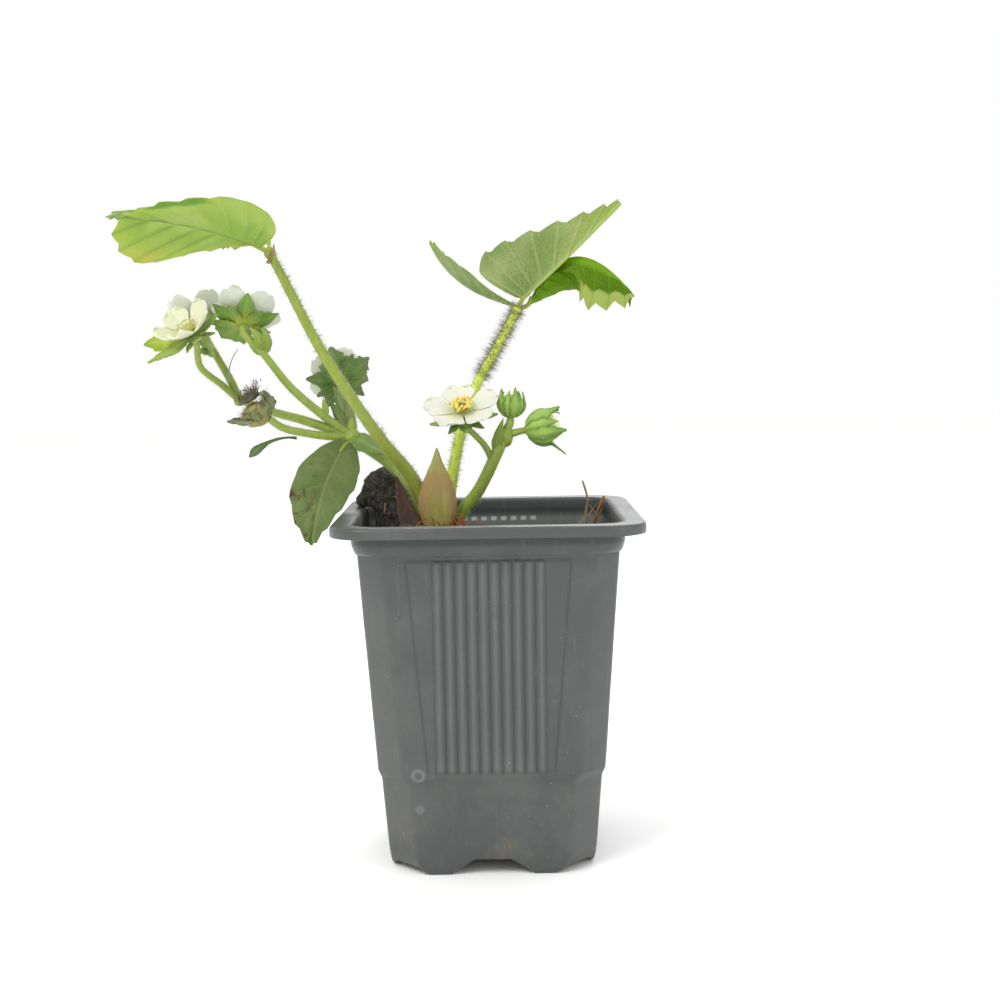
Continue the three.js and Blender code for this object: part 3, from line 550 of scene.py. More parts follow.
# The raised panel's side edges, a ring-shaped smudge and a pale one below it
panelSide = plastic.sum("ADD", plastic.sum("DIVIDE", plastic.height(), 12.16), 0.01545)
fromPanelSide = absolute(plastic.sum("SUBTRACT", absolute(plastic.height("X")), panelSide))
plastic.coat((48, 52, 51), plastic.spread(fromPanelSide, 0.0007, 0.0001, 0, 0.55), fluteBand)
onFront = plastic.spread(plastic.height("Y"), -0.02, -0.03)
ring = plastic.spread(absolute(plastic.sum("ADD", farFrom(-0.0209, 0.03), -0.0015)), 0.0008, 0.0001, 0, 0.45)
blot = plastic.spread(farFrom(-0.0206, 0.0197), 0.0017, 0.0008, 0, 0.35)
plastic.coat((128, 133, 134), onFront, plastic.sum("MAXIMUM", ring, blot))

# Scuffs, pale specks and dirt near the foot
plastic.coat((124, 127, 122), plastic.spread(plastic.grain(0.5, 3, 0.12), 0.6, 0.75), 0.12)
plastic.coat((158, 152, 138), plastic.spread(plastic.grain(1.1, 3), 0.69, 0.76), 0.35)
plastic.coat((112, 96, 74), plastic.spread(plastic.height(), 0.034, 0.002),
             plastic.spread(plastic.grain(0.12, 6, rough=0.7), 0.55, 0.7), 0.6)
plastic.put(plastic.shader.inputs["Roughness"], plastic.spread(dust, 0, 1, 0.36, 0.58))
plastic.bump(plastic.grain(1.6, 3), 0.02, 0.35)

peat = Finish("moistPeat", 0.9, Specular_IOR_Level=0.25)
peat.colour(peat.blend(peat.spread(peat.grain(0.6, 6, rough=0.7), 0.35, 0.7), (38, 38, 36), (98, 95, 86)))
peat.bump(peat.grain(1.2, 6, rough=0.75), 0.35, 0.9)

sheathSkin = Finish("sheathSkin", 0.5, Subsurface_Weight=0.15, Subsurface_Scale=0.001)
streak = sheathSkin.spread(sheathSkin.grain(1.0, 3, 0.08), 0.35, 0.7)
fromMiddle = sheathSkin.sum("ABSOLUTE", sheathSkin.sum("ADD", sheathSkin.height("X"), 0.0146))
sheathSkin.colour(sheathSkin.blend(sheathSkin.spread(sheathSkin.height(), 0.1, 0.119), (134, 122, 52), (142, 140, 66)))
sheathSkin.coat((168, 158, 96), streak, 0.5)
sheathSkin.coat((112, 122, 38), sheathSkin.spread(sheathSkin.height(), 0.108, 0.096, 0, 0.65))
sheathSkin.coat((146, 98, 62), sheathSkin.spread(fromMiddle, 0.002, 0.0044, 0, 0.55))
sheathSkin.coat((146, 108, 68), sheathSkin.spread(sheathSkin.grain(0.12, 3), 0.52, 0.68), 0.5)
sheathSkin.bump(streak, 0.12, 0.6)

bark = grainFinish("crownBark", 0.8, (74, 52, 32), (150, 118, 68), (0.5, 4, 2.5), (0.9, 4, 3, 0.3, 0.8))
papery = grainFinish("dryStipule", 0.75, (50, 38, 34), (100, 72, 58), (0.5, 5, 0.2), (0.9, 4, 0.15, 0.2, 0.8))
rootSkin = grainFinish("rootSkin", 0.7, (52, 42, 36), (106, 84, 68), (0.4, 3))
paleRoot = grainFinish("paleRoot", 0.65, (120, 92, 62), (186, 158, 116), (0.4, 3))
orangeFibre = grainFinish("orangeFibre", 0.6, (94, 50, 30), (172, 102, 62), (0.5, 3),
                          Subsurface_Weight=0.1, Subsurface_Scale=0.001)
hairGrey = grainFinish("hairGrey", 0.6, (178, 178, 160), (212, 212, 198), (0.3,))
hairBrown = grainFinish("hairBrown", 0.6, (112, 114, 96), (158, 158, 138), (0.3,))
wingSkin = grainFinish("wingSkin", 0.6, (128, 112, 62), (172, 160, 96), (0.5, 4, 0.3), (1, 3, 0.2, 0.1, 0.6))
brownTuft = grainFinish("brownTuft", 0.7, (74, 56, 40), (176, 158, 92), (0.9, 3))
brownHeart = grainFinish("brownHeart", 0.65, (116, 60, 28), (190, 136, 58), (0.8, 3))
heart = grainFinish("flowerHeart", 0.6, (150, 142, 48), (204, 196, 92), (0.8, 3))
paleHeart = grainFinish("paleHeart", 0.6, (190, 188, 112), (214, 212, 154), (0.8, 3))
pollen = grainFinish("pollen", 0.75, (212, 190, 62), (240, 226, 124), (1.2, 3))
palePollen = grainFinish("palePollen", 0.7, (196, 184, 104), (216, 210, 146), (1.2, 3))
filament = grainFinish("filament", 0.5, (194, 190, 84), (216, 212, 120), (0.6,),
                       Subsurface_Weight=0.2, Subsurface_Scale=0.001)
styles = grainFinish("flowerStyles", 0.7, (118, 62, 34), (196, 158, 74), (1.1, 3))
fadedFoot = grainFinish("fadedFoot", 0.7, (126, 122, 62), (164, 158, 94), (0.4, 4), (0.9, 4, 1, 0.15, 0.6))
dryStamen = grainFinish("dryStamen", 0.8, (54, 50, 42), (124, 116, 92), (0.8, 4), (1.4, 4, 1, 0.15, 0.7))
straw = grainFinish("dryStraw", 0.75, (86, 66, 50), (186, 160, 122), (0.6, 4, 0.2), (1.2, 3, 0.2, 0.08, 0.6))
brightStraw = grainFinish("brightStraw", 0.7, (138, 82, 40), (194, 138, 78), (0.6, 4, 0.2), (1.2, 3, 0.2, 0.08, 0.6))


# low and high are the colours at the two ends; the foot turns red up to flushTop
def stalkFinish(name, low, high, flush, flushTop):
    finish = Finish(name, 0.45, Subsurface_Weight=0.15, Subsurface_Scale=0.0015)
    rib = finish.spread(finish.grain(0.9, 3, 0.25), 0.3, 0.7)
    finish.colour(finish.blend(finish.mark("along"), low, high))
    finish.coat((176, 188, 98), rib, 0.22)
    finish.coat(flush, finish.spread(finish.mark("along"), flushTop, 0.0),
                finish.spread(finish.grain(0.25, 3), 0.35, 0.65))
    finish.bump(rib, 0.08, 0.4)
    return finish


petioleSkin = stalkFinish("petioleSkin", (140, 153, 44), (124, 143, 36), (140, 108, 60), 0.14)
brightPetiole = stalkFinish("brightPetiole", (190, 208, 68), (204, 222, 72), (150, 120, 66), 0.08)
stalkSkin = stalkFinish("stalkSkin", (112, 136, 38), (142, 162, 58), (132, 104, 70), 0.12)


# pale and dark make up the blade, patch by patch; marks from the blade's own grid colour its veins, edge and spots
def leafFinish(name, pale, dark, vein, roughness, spots=None, fuzz=0.0, edge=None, rib=None, tip=None, net=0.14,
               lines=0.4, relief=1.0, soft=0.1, gloss=0.35):
    finish = Finish(name, roughness, Subsurface_Weight=soft, Subsurface_Scale=0.001, Sheen_Weight=fuzz,
                    Specular_IOR_Level=gloss)
    finish.colour(finish.blend(finish.spread(finish.grain(0.09, 4), 0.35, 0.68), dark, pale))
    finish.coat(dark, finish.spread(finish.grain(0.9, 3), 0.3, 0.8, 0, 0.3))
    if tip:
        finish.coat(tip, finish.spread(finish.mark("along"), 0.35, 1.0, 0, 0.75))
    if edge:
        finish.coat(edge, finish.spread(finish.mark("edge"), 0.45, 1.0, 0, 0.65))
    small = finish.spread(finish.cells(0.75), 0.09, 0.0)
    finish.coat(vein, small, net)
    finish.coat(vein, finish.mark("vein"), lines)
    if rib:
        finish.coat(rib, finish.spread(finish.mark("rib"), 0.55, 1.0, 0, 0.8))
    if spots:
        finish.coat(spots, finish.spread(finish.grain(0.33, 3), 0.54, 0.62), finish.mark("spotted"))
    if relief:
        finish.bump(small, 0.04 * relief, 0.3)
        finish.bump(finish.grain(0.8, 2), 0.05 * relief, 0.3)
    return finish


leafAbove = leafFinish("leafAbove", (104, 142, 20), (78, 116, 8), (140, 168, 60), 0.34, edge=(132, 164, 52), lines=0.3)
leafBelow = leafFinish("leafBelow", (150, 172, 84), (128, 152, 62), (176, 190, 116), 0.6, fuzz=0.1, tip=(92, 128, 36))

# The near leaflet shows its under side, with painted shade in the furrows along its veins towards the tip
lightBelow = leafFinish("lightBelow", (150, 176, 84), (128, 160, 50), (160, 180, 100), 0.5, fuzz=0.05,
                        edge=(156, 180, 54), rib=(104, 122, 38), lines=0.3)
lightBelow.coat((100, 134, 26), lightBelow.mark("furrow"),
                lightBelow.spread(lightBelow.mark("along"), 0.25, 0.7, 0.1, 0.75))
lightBelow.coat((158, 178, 118), lightBelow.spread(lightBelow.grain(0.05, 3), 0.45, 0.7, 0, 0.45))
lightBelow.coat((186, 166, 72), lightBelow.mark("warm"),
                lightBelow.spread(lightBelow.grain(0.3, 3), 0.3, 0.7, 0.2, 0.8))
lightBelow.coat((92, 136, 22), lightBelow.mark("foldedOver"))

# The side leaflet's right rim is folded back, so that its pale under side shows
sideAbove = leafFinish("sideAbove", (76, 112, 2), (60, 96, 0), (132, 162, 50), 0.45, lines=0.2, gloss=0.12)
# A painted highlight: a lighter band along the midrib's ridge, where light falls on the fold
sideAbove.coat((100, 142, 18), sideAbove.spread(sideAbove.mark("edge"), 0.34, 0.16))
sideAbove.coat(sideAbove.blend(sideAbove.mark("vein"), (140, 156, 78), (112, 132, 50)),
               sideAbove.spread(sideAbove.mark("toRight"), 0.68, 0.76),
               sideAbove.spread(sideAbove.mark("along"), 0.56, 0.64))
sideBelow = leafFinish("sideBelow", (94, 138, 2), (74, 118, 0), (120, 152, 40), 0.5, edge=(118, 152, 40), lines=0.25,
                       gloss=0.12)
paleBelow = leafFinish("paleBelow", (134, 150, 92), (100, 124, 56), (172, 184, 126), 0.55, fuzz=0.1,
                       tip=(136, 156, 50), rib=(146, 166, 66), lines=0.5, net=0.22, relief=0.3, soft=0)
backBelow = leafFinish("backBelow", (144, 162, 104), (120, 144, 76), (170, 184, 134), 0.55,
                       edge=(116, 142, 62), lines=0.25, net=0, relief=0, soft=0)
oldAbove = leafFinish("oldAbove", (108, 126, 70), (88, 108, 54), (138, 150, 96), 0.55, (76, 46, 34), net=0.08)
oldBelow = leafFinish("oldBelow", (120, 136, 86), (102, 118, 72), (150, 158, 110), 0.6, (76, 46, 34), net=0.08)
bractSkin = leafFinish("bractSkin", (92, 116, 66), (70, 94, 50), (124, 140, 92), 0.55)
hairyGreen = leafFinish("hairyGreen", (122, 146, 78), (92, 122, 56), (158, 172, 118), 0.6, fuzz=0.03)
duskyGreen = leafFinish("duskyGreen", (126, 144, 78), (86, 106, 54), (154, 164, 110), 0.6, fuzz=0.03)
freshBract = leafFinish("freshBract", (146, 168, 72), (124, 148, 54), (168, 182, 104), 0.55, fuzz=0.1)
sheathGreen = leafFinish("sheathGreen", (134, 156, 58), (116, 142, 46), (150, 166, 84), 0.5)
calyxSkin = leafFinish("calyxSkin", (116, 148, 56), (86, 120, 34), (146, 168, 88), 0.55, fuzz=0.1, rib=(140, 164, 84))
calyxBack = leafFinish("calyxBack", (132, 158, 74), (104, 134, 50), (160, 178, 106), 0.6, fuzz=0.1, rib=(156, 172, 96))
leafyYellow = leafFinish("leafyYellow", (166, 182, 58), (124, 150, 38), (176, 182, 84), 0.55)
outerSepal = leafFinish("outerSepal", (148, 172, 76), (112, 142, 46), (172, 188, 108), 0.55, fuzz=0.1)
middleSepal = leafFinish("middleSepal", (119, 147, 74), (85, 117, 50), (136, 160, 96), 0.6, fuzz=0.1, tip=(96, 108, 70))
topSepal = leafFinish("topSepal", (118, 152, 62), (88, 124, 38), (148, 172, 94), 0.55, rib=(136, 164, 76))
topSepal.coat((158, 166, 52), topSepal.spread(topSepal.mark("along"), 0.5, 0.0, 0, 0.9))
yellowCup = leafFinish("yellowCup", (150, 162, 46), (128, 144, 36), (170, 178, 80), 0.55)
budSepal = leafFinish("budSepal", (146, 176, 78), (112, 150, 48), (166, 188, 110), 0.6, fuzz=0.1,
                      tip=(92, 132, 42), rib=(156, 184, 100), edge=(84, 120, 40))
fadedSkin = leafFinish("fadedSkin", (132, 144, 98), (82, 96, 52), (156, 162, 118), 0.7, (84, 62, 44), fuzz=0.1,
                       tip=(108, 112, 84))
budSkin = Finish("budSkin", 0.55, Subsurface_Weight=0.15, Subsurface_Scale=0.001)
budSkin.colour(budSkin.blend(budSkin.spread(budSkin.mark("along"), 0.55, 0.8), (142, 166, 78), (222, 226, 176)))
budSkin.coat((178, 194, 116), budSkin.spread(budSkin.grain(0.7, 3), 0.4, 0.8, 0, 0.5))
budSkin.bump(budSkin.grain(1.2, 3), 0.06, 0.4)


def petalFinish(name, foot, blade):
    finish = Finish(name, 0.6, Subsurface_Weight=0.2, Subsurface_Scale=0.002, Sheen_Weight=0.1)
    streak = finish.spread(finish.mark("streak"), 0.4, 1.0)
    finish.colour(finish.blend(finish.spread(finish.mark("along"), 0.0, 0.5), foot, blade))
    finish.coat(foot, streak, 0.22)
    finish.bump(streak, 0.05, 0.35)
    finish.bump(finish.grain(1.4, 3), 0.04, 0.3)
    return finish


whitePetal = petalFinish("whitePetal", (188, 194, 138), (208, 209, 194))
creamPetal = petalFinish("creamPetal", (192, 196, 124), (214, 216, 188))
# Painted shade: a greyer copy of the petal colours for the flowers whose petals lie in shade (middle, back and top)
shadedPetal = petalFinish("shadedPetal", (168, 180, 128), (202, 206, 192))


print("pot")

# Millimetres. Each level and edge is a height, half the width there and the corner's size; an edge adds how round
# its corners are, from 0 (cut) to 1.
pot = {
    "levels": [(0, 29.6, 8.6), (3, 30.2, 8.2), (27, 32.0, 8.6), (29.5, 32.9, 7.8), (94, 37.2, 7.5)],
    "floor": 4.4, "wall": 0.9, "fillet": 3.2, "under": 26.6, "underCorner": 7.6, "middle": (20, 6, 0),
    "outside": [0.35, 2, 4.5, 7, 10, 14, 18, 22, 25.5, 26.6, 27.2, 27.8, 28.6, 29.3, 29.9, 30.3, 30.7, 31.1, 31.5, 32,
                33, 36, 40, 44, 48, 52, 56, 60, 64, 68, 72, 76, 80, 84, 88, 90, 91, 91.4, 91.8, 92.2, 92.6, 92.9],
    "collarAndLip": [
        (93.1, 37.25, 7.9, 0.45), (93.5, 37.6, 8.3, 0.75), (94.6, 38.1, 8.7, 0.95), (96, 38.5, 9, 1),
        (96.5, 38.6, 9, 1), (100.4, 38.6, 9, 1), (100.9, 39.1, 9.4, 1), (101, 39.8, 10, 1), (101, 42.6, 10.4, 1),
        (100.8, 43.25, 11, 1), (99.1, 43.35, 11.1, 1), (98.85, 43.5, 11.2, 1), (98.8, 43.85, 11.55, 1),
        (98.9, 44.2, 11.9, 1), (99.2, 44.3, 12, 1), (100.7, 44.3, 12, 1), (101.3, 44.22, 11.9, 1),
        (101.7, 44, 11.7, 1), (101.95, 43.55, 11.25, 1), (102, 43, 10.8, 1),
        (102, 39.2, 9.4, 1), (101.9, 38.65, 9, 1), (101.6, 38.2, 8.6, 1), (101, 37.85, 8.3, 1), (98, 37.72, 8.1, 1),
        (96.5, 37.7, 8.1, 1), (95.2, 37.15, 7.9, 0.8), (94, 36.5, 7.6, 0.4)],
    "inside": [93, 92.6, 92.2, 91.6, 91, 90, 88, 84, 70, 50, 32, 30.5, 29.5, 27, 20, 10, 5.9],
    "flutes": {"count": 10, "pitch": 3.2, "bottom": 29.8, "top": 92.4, "relief": 0.66},
    "panel": {"bottom": 31, "top": 91.8, "halfLow": 18, "halfHigh": 23, "relief": 0.3},
    "notch": {"height": 4.2, "top": 5.2, "bottom": 12.2}, "cornerLift": {"height": 4, "start": 17.5, "end": 26},
    "footHeight": 7, "drain": {"radius": 3, "place": 19.5, "depth": 4, "height": 4.8},
    "pad": {"radius": 8, "height": 4.8, "edge": 0.4},
}


def potLevel(z, what):
    return float(np.interp(z, [row[0] for row in pot["levels"]], [row[what] for row in pot["levels"]]))


def panelEdge(z):
    panel = pot["panel"]
    return float(np.interp(z, [panel["bottom"], panel["top"]], [panel["halfLow"], panel["halfHigh"]]))


def footEdge(x):
    notch, lift = pot["notch"], pot["cornerLift"]
    middle = notch["height"] * np.clip((notch["bottom"] - x) / (notch["bottom"] - notch["top"]), 0, 1)
    return np.maximum(middle, lift["height"] * smoothStep(x, lift["start"], lift["end"]))


# How far the flutes and the panel stand out at x
def potRelief(x, z):
    flutes, panel, edge = pot["flutes"], pot["panel"], panelEdge(z)
    reach = flutes["count"] * flutes["pitch"] / 2
    wave = np.abs(np.sin(pi * x / flutes["pitch"])) ** 0.8 * (np.abs(x) < reach)
    ends = (smoothStep(z, flutes["bottom"], flutes["bottom"] + 1.6)
            * (1 - smoothStep(z, flutes["top"] - 1.4, flutes["top"])))
    raised = ((1 - smoothStep(np.abs(x), edge - 0.3, edge + 0.3))
              * smoothStep(z, panel["bottom"] - 0.5, panel["bottom"] + 0.3)
              * (1 - smoothStep(z, panel["top"] - 0.3, panel["top"] + 0.5)))
    return flutes["relief"] * wave * ends + panel["relief"] * raised


# One level of the pot: the front side with the corner after it, then the same turned to the other sides
def potRing(z, half, corner, roundness, relief=0.0, foot=False):
    fillet = pot["fillet"]
    cut = corner + 0.414 * fillet
    flat = half - (cut * (1 - roundness) + corner * roundness)
    edge = min(panelEdge(z), flat - 1.0)
    inner = np.arange(0.2, min(16.3, edge - 1), 0.4)
    inner = np.interp(np.linspace(0, 1, 41), np.linspace(0, 1, len(inner)), inner)
    xs = np.concatenate([inner, [edge - 0.8, edge - 0.25, edge + 0.25, edge + 0.8],
                         edge + 0.8 + (flat - edge - 0.8) * np.array([0.33, 0.67, 1.0])])
    xs = np.concatenate([-xs[::-1], xs])
    front = np.stack([xs, -(half + potRelief(xs, z) * relief)], -1)
    a = np.radians(np.linspace(0, 90, 12)[1:-1])[:, None]
    sine, cosine = np.sin(a), np.cos(a)
    arc = np.hstack([half - corner + corner * sine, corner - half - corner * cosine])
    chamfer = np.where(a < pi / 4, np.hstack([flat + fillet * sine, fillet - half - fillet * cosine]),
                       np.hstack([half - fillet + fillet * sine, -flat - fillet * cosine]))
    side = np.concatenate([front, chamfer * (1 - roundness) + arc * roundness])
    ring = []
    for _ in range(4):
        ring.append(side)
        side = np.stack([-side[:, 1], side[:, 0]], -1)
    ring = np.concatenate(ring)
    height = np.full(len(ring), float(z))
    if foot:
        edgeLift = footEdge(np.min(np.abs(ring), 1))
        height = edgeLift + z * (pot["footHeight"] - edgeLift) / pot["footHeight"]
    return np.concatenate([ring, height[:, None]], 1)


def disc(radius, depth, place, sides):
    deselectAll()
    bpy.ops.mesh.primitive_cylinder_add(vertices=sides, radius=radius * mm, depth=depth * mm,
                                        location=[number * mm for number in place])
    return bpy.context.active_object


def makePot():
    wall, floorZ, under, corner = pot["wall"], pot["floor"], pot["under"], pot["underCorner"]
    toPoint, innerFloor = [0.001, 0.001, 1], floorZ + wall
    rings = [potRing(floorZ, *pot["middle"]) * toPoint, potRing(floorZ, under - 0.5, corner - 0.1, 0),
             potRing(floorZ - 0.4, under, corner, 0, foot=True), potRing(0, under, corner, 0, foot=True),
             potRing(0, potLevel(0, 1) - 0.3, 8.6, 0, foot=True)]
    for z in pot["outside"]:
        low = z < pot["footHeight"]
        rings.append(potRing(z, potLevel(z, 1), potLevel(z, 2), 0, relief=0 if low else 1, foot=low))
    rings += [potRing(*edge) for edge in pot["collarAndLip"]]
    for z in pot["inside"]:
        rings.append(potRing(z, potLevel(z, 1) - wall, potLevel(z, 2) - 0.3, 0, relief=0.7 if z > 33 else 0))
    rings += [potRing(innerFloor, potLevel(innerFloor, 1) - wall - 0.6, 7.8, 0),
              potRing(innerFloor, *pot["middle"]) * toPoint]
    shell = gridPiece("potShell", rings, closed=True, flipped=False)
    editAll(shell, lambda: mergeClose(2.5e-5))
    drain, pad = pot["drain"], pot["pad"]
    places = [(x * drain["place"], y * drain["place"], drain["height"]) for x in (-1, 1) for y in (-1, 1)]
    cutter = joinPieces("drains", [disc(drain["radius"], drain["depth"], place, 32) for place in places])
    applyModifier(shell, "BOOLEAN", operation="DIFFERENCE", object=cutter, solver="EXACT")
    bpy.data.objects.remove(cutter)
    foot = disc(pad["radius"], pad["height"], (0, 0, pad["height"] / 2), 64)
    bpy.ops.object.transform_apply(location=True)
    applyModifier(foot, "BEVEL", width=pad["edge"] * mm, segments=3, limit_method="ANGLE")
    piece = joinPieces("nurseryPot", [shell, foot])
    smoothShade(piece, 38)
    dress(piece, plastic, "pot")


makePot()


# CAD pieces that keep their form: a copy is merged, made fine and roughened along its own surface
def refinedCopy(name, node, levels=2, rough=0.0, scale=0.9, voxel=None):
    piece = linked(name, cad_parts[node].data.copy())
    selectOnly(piece)
    if piece.data.has_custom_normals:
        bpy.ops.mesh.customdata_custom_splitnormals_clear()
    editAll(piece, mergeClose)
    if voxel:
        applyModifier(piece, "REMESH", mode="VOXEL", voxel_size=voxel * mm)
    if levels:
        applyModifier(piece, "SUBSURF", levels=levels, render_levels=levels)
    normals = [v.normal.copy() for v in piece.data.vertices]
    for v, normal in zip(piece.data.vertices, normals):
        p = v.co * 1000
        push = noise.noise(p * scale) + 0.5 * noise.noise(p * scale * 2.3) + 0.25 * noise.noise(p * scale * 5.1)
        v.co += normal * (rough * mm * push)
    smoothShade(piece, 60)
    return piece


def threadPiece(name, threads, finish):
    pieces = [stalkPiece(name + str(k), stalkSurface(route, radii, sides=5, spacing=0.9))
              for k, (route, radii) in enumerate(threads)]
    piece = joinPieces(name, pieces)
    smoothShade(piece, 60)
    dress(piece, finish)


def wander(start, way, length, steps=4, stray=0.5):
    points, heading = [np.array(start, float)], unit(way)
    for _ in range(steps):
        heading = unit(heading + [chance.uniform(-stray, stray) for _ in range(3)])
        points.append(points[-1] + heading * length / steps)
    return points


print("soil and crown")
ground = {"level": 88.0, "half": 34.5, "crumbs": 420, "crumbSize": (0.5, 1.9), "fibres": 46, "fibresBelow": 96}
clump = {"middle": (-32.5, 20, 100), "size": (9.5, 8, 13), "roots": 34, "strayRoots": 10,
         "lowest": 90, "potInside": 36, "potTop": 103, "overRim": -41}
crown = {"x": -14, "y": -2, "radii": (7.2, 7.4), "clear": 9, "foot": 91.5, "fibres": 40, "frontFibres": 90,
         "front": (-12.7, -11.8), "sheathSide": (-13, 2.4), "leftSide": (-20, 3)}


# Returns places on the soil's top with the way they face
def makeSoil():
    bed = refinedCopy("peatBed", "soil", levels=0, rough=0.5, scale=0.5, voxel=0.85)
    tops = []
    for polygon in bed.data.polygons:
        p, facing = polygon.center * 1000, polygon.normal
        if p.z > ground["level"] - 0.8 and facing.z > 0.1 and max(abs(p.x), abs(p.y)) < ground["half"]:
            tops.append((np.array(p), np.array(facing)))
    points, faces = seedForm
    groups = []
    for _ in range(ground["crumbs"]):
        place, _ = tops[chance.randrange(len(tops))]
        size = chance.uniform(*ground["crumbSize"]) * chance.uniform(0.4, 1) / 2
        stretch = np.array([chance.uniform(0.6, 1.3) for _ in range(3)]) * size
        knobs = np.array([[1 + chance.uniform(-0.3, 0.3)] for _ in points])
        groups.append(place + points * stretch * knobs)
    piece = joinPieces("pottingPeat", [bed, copiesPiece("peatCrumbs", groups, faces)])
    dress(piece, peat, "soil")
    return tops


soilTops = makeSoil()


# Roots lie on the clump's surface, and others wander out of its right side
def clumpRoots():
    centre, size = np.array(clump["middle"]), np.array(clump["size"])
    lowest, inside, potTop = clump["lowest"], clump["potInside"], clump["potTop"]
    dark, pale = [], []
    for k in range(clump["roots"]):
        a, b = chance.uniform(0, 2 * pi), chance.uniform(-0.2, 1.2)
        out = polar(a, math.cos(b), math.sin(b))
        start = centre + out * size * 0.97
        if start[2] < lowest or (start[2] < potTop and abs(start[0]) > inside - 0.5):
            continue
        tangent = np.cross(out, [chance.uniform(-1, 1) for _ in range(3)])
        route = [centre + size * 1.02 * unit(out + tangent * s) for s in (0, 0.14, 0.28, 0.42)]
        route = [p for p in route
                 if p[2] > lowest - 0.5 and (p[2] > potTop or abs(p[0]) < inside) and p[0] > clump["overRim"]]
        if len(route) > 2:
            (dark if k % 3 else pale).append((route, (0.22, 0.12)))
    for k in range(clump["strayRoots"]):
        start = (-28 + 1.5 * k, 12 + chance.uniform(-8, 4), 96 + chance.uniform(-4, 6))
        dark.append((wander(start, (0.7, -0.5, 0.1), chance.uniform(6, 10)), (0.2, 0.1)))
    threadPiece("clumpRoots", dark, rootSkin)
    threadPiece("paleRoots", pale, paleRoot)


# Short fibres on the soil, away from the crown and the clump
def soilFibres():
    threads = []
    for _ in range(ground["fibres"]):
        place, normal = soilTops[chance.randrange(len(soilTops))]
        fromCrown = math.hypot(place[0] - crown["x"], place[1] - crown["y"])
        if fromCrown < crown["clear"] or place[2] > ground["fibresBelow"]:
            continue
        way = (chance.uniform(-1, 1), chance.uniform(-1, 1), 0.12)
        route = wander(place + normal * 0.25, way, chance.uniform(3, 9), 3, 0.35)
        if all(abs(p[0]) < 35 and abs(p[1]) < 35 for p in route):
            threads.append((route, (0.16, 0.1)))
    threadPiece("soilFibres", threads, paleRoot)


# Fibres stand round the crown's front, and thickest at the sheath's foot
def crownFibres():
    x, y, foot = crown["x"], crown["y"], crown["foot"]
    fibres = []
    for _ in range(crown["fibres"]):
        a = math.radians(-170 + 170 * chance.random())
        start = (x + crown["radii"][0] * math.cos(a), y + crown["radii"][1] * math.sin(a), foot + chance.uniform(0, 3))
        way = (math.cos(a) * 0.7 + chance.uniform(-0.4, 0.4), math.sin(a) * 0.7, 1)
        fibres.append((wander(start, way, chance.uniform(4, 8), 3, 0.3), (0.3, 0.12)))
    for k in range(crown["frontFibres"]):
        middle, half = crown["sheathSide"] if k % 3 else crown["leftSide"]
        start = (middle + half * chance.uniform(-1, 1), chance.uniform(*crown["front"]), foot + chance.uniform(0, 2.6))
        way = (chance.uniform(-0.7, 0.7), 0.05, 1.3)
        fibres.append((wander(start, way, chance.uniform(6.5, 11), 6, 0.8), (0.36, 0.16)))
    threadPiece("crownFibres", fibres, orangeFibre)


clumpRoots()
soilFibres()
dress(refinedCopy("crownStock", "crown", rough=0.25, scale=0.8), bark, "crown")
crownFibres()
for name, node, finish, slotName, levels, rough in (
        ("brownStipule", "brown_stipule", papery, "stipule", 2, 0.12),
        ("frontStipule", "front_stipule", papery, "stipule", 2, 0.12),
        ("rightStipule", "right_stipule", orangeFibre, "stipule", 2, 0.12),
        ("pointedSheath", "leaf_sheath", sheathSkin, "sheath", 3, 0.06)):
    dress(refinedCopy(name, node, levels, rough), finish, node)


print("leaves")
# Where the blade's grid has its lines: from vein to vein along it (they are 2 apart), and from rib to margin
veinSteps = (0, 0.08, 0.2, 0.36, 0.54, 0.7, 0.86, 1.15, 1.45, 1.7, 1.9)
shareSteps = (0, 0.01, 0.025, 0.05, 0.085, 0.14, 0.22, 0.32, 0.44, 0.56, 0.68, 0.79, 0.88, 0.95, 1.0)
leafThickness, leafHairWidth = 0.5, 0.028


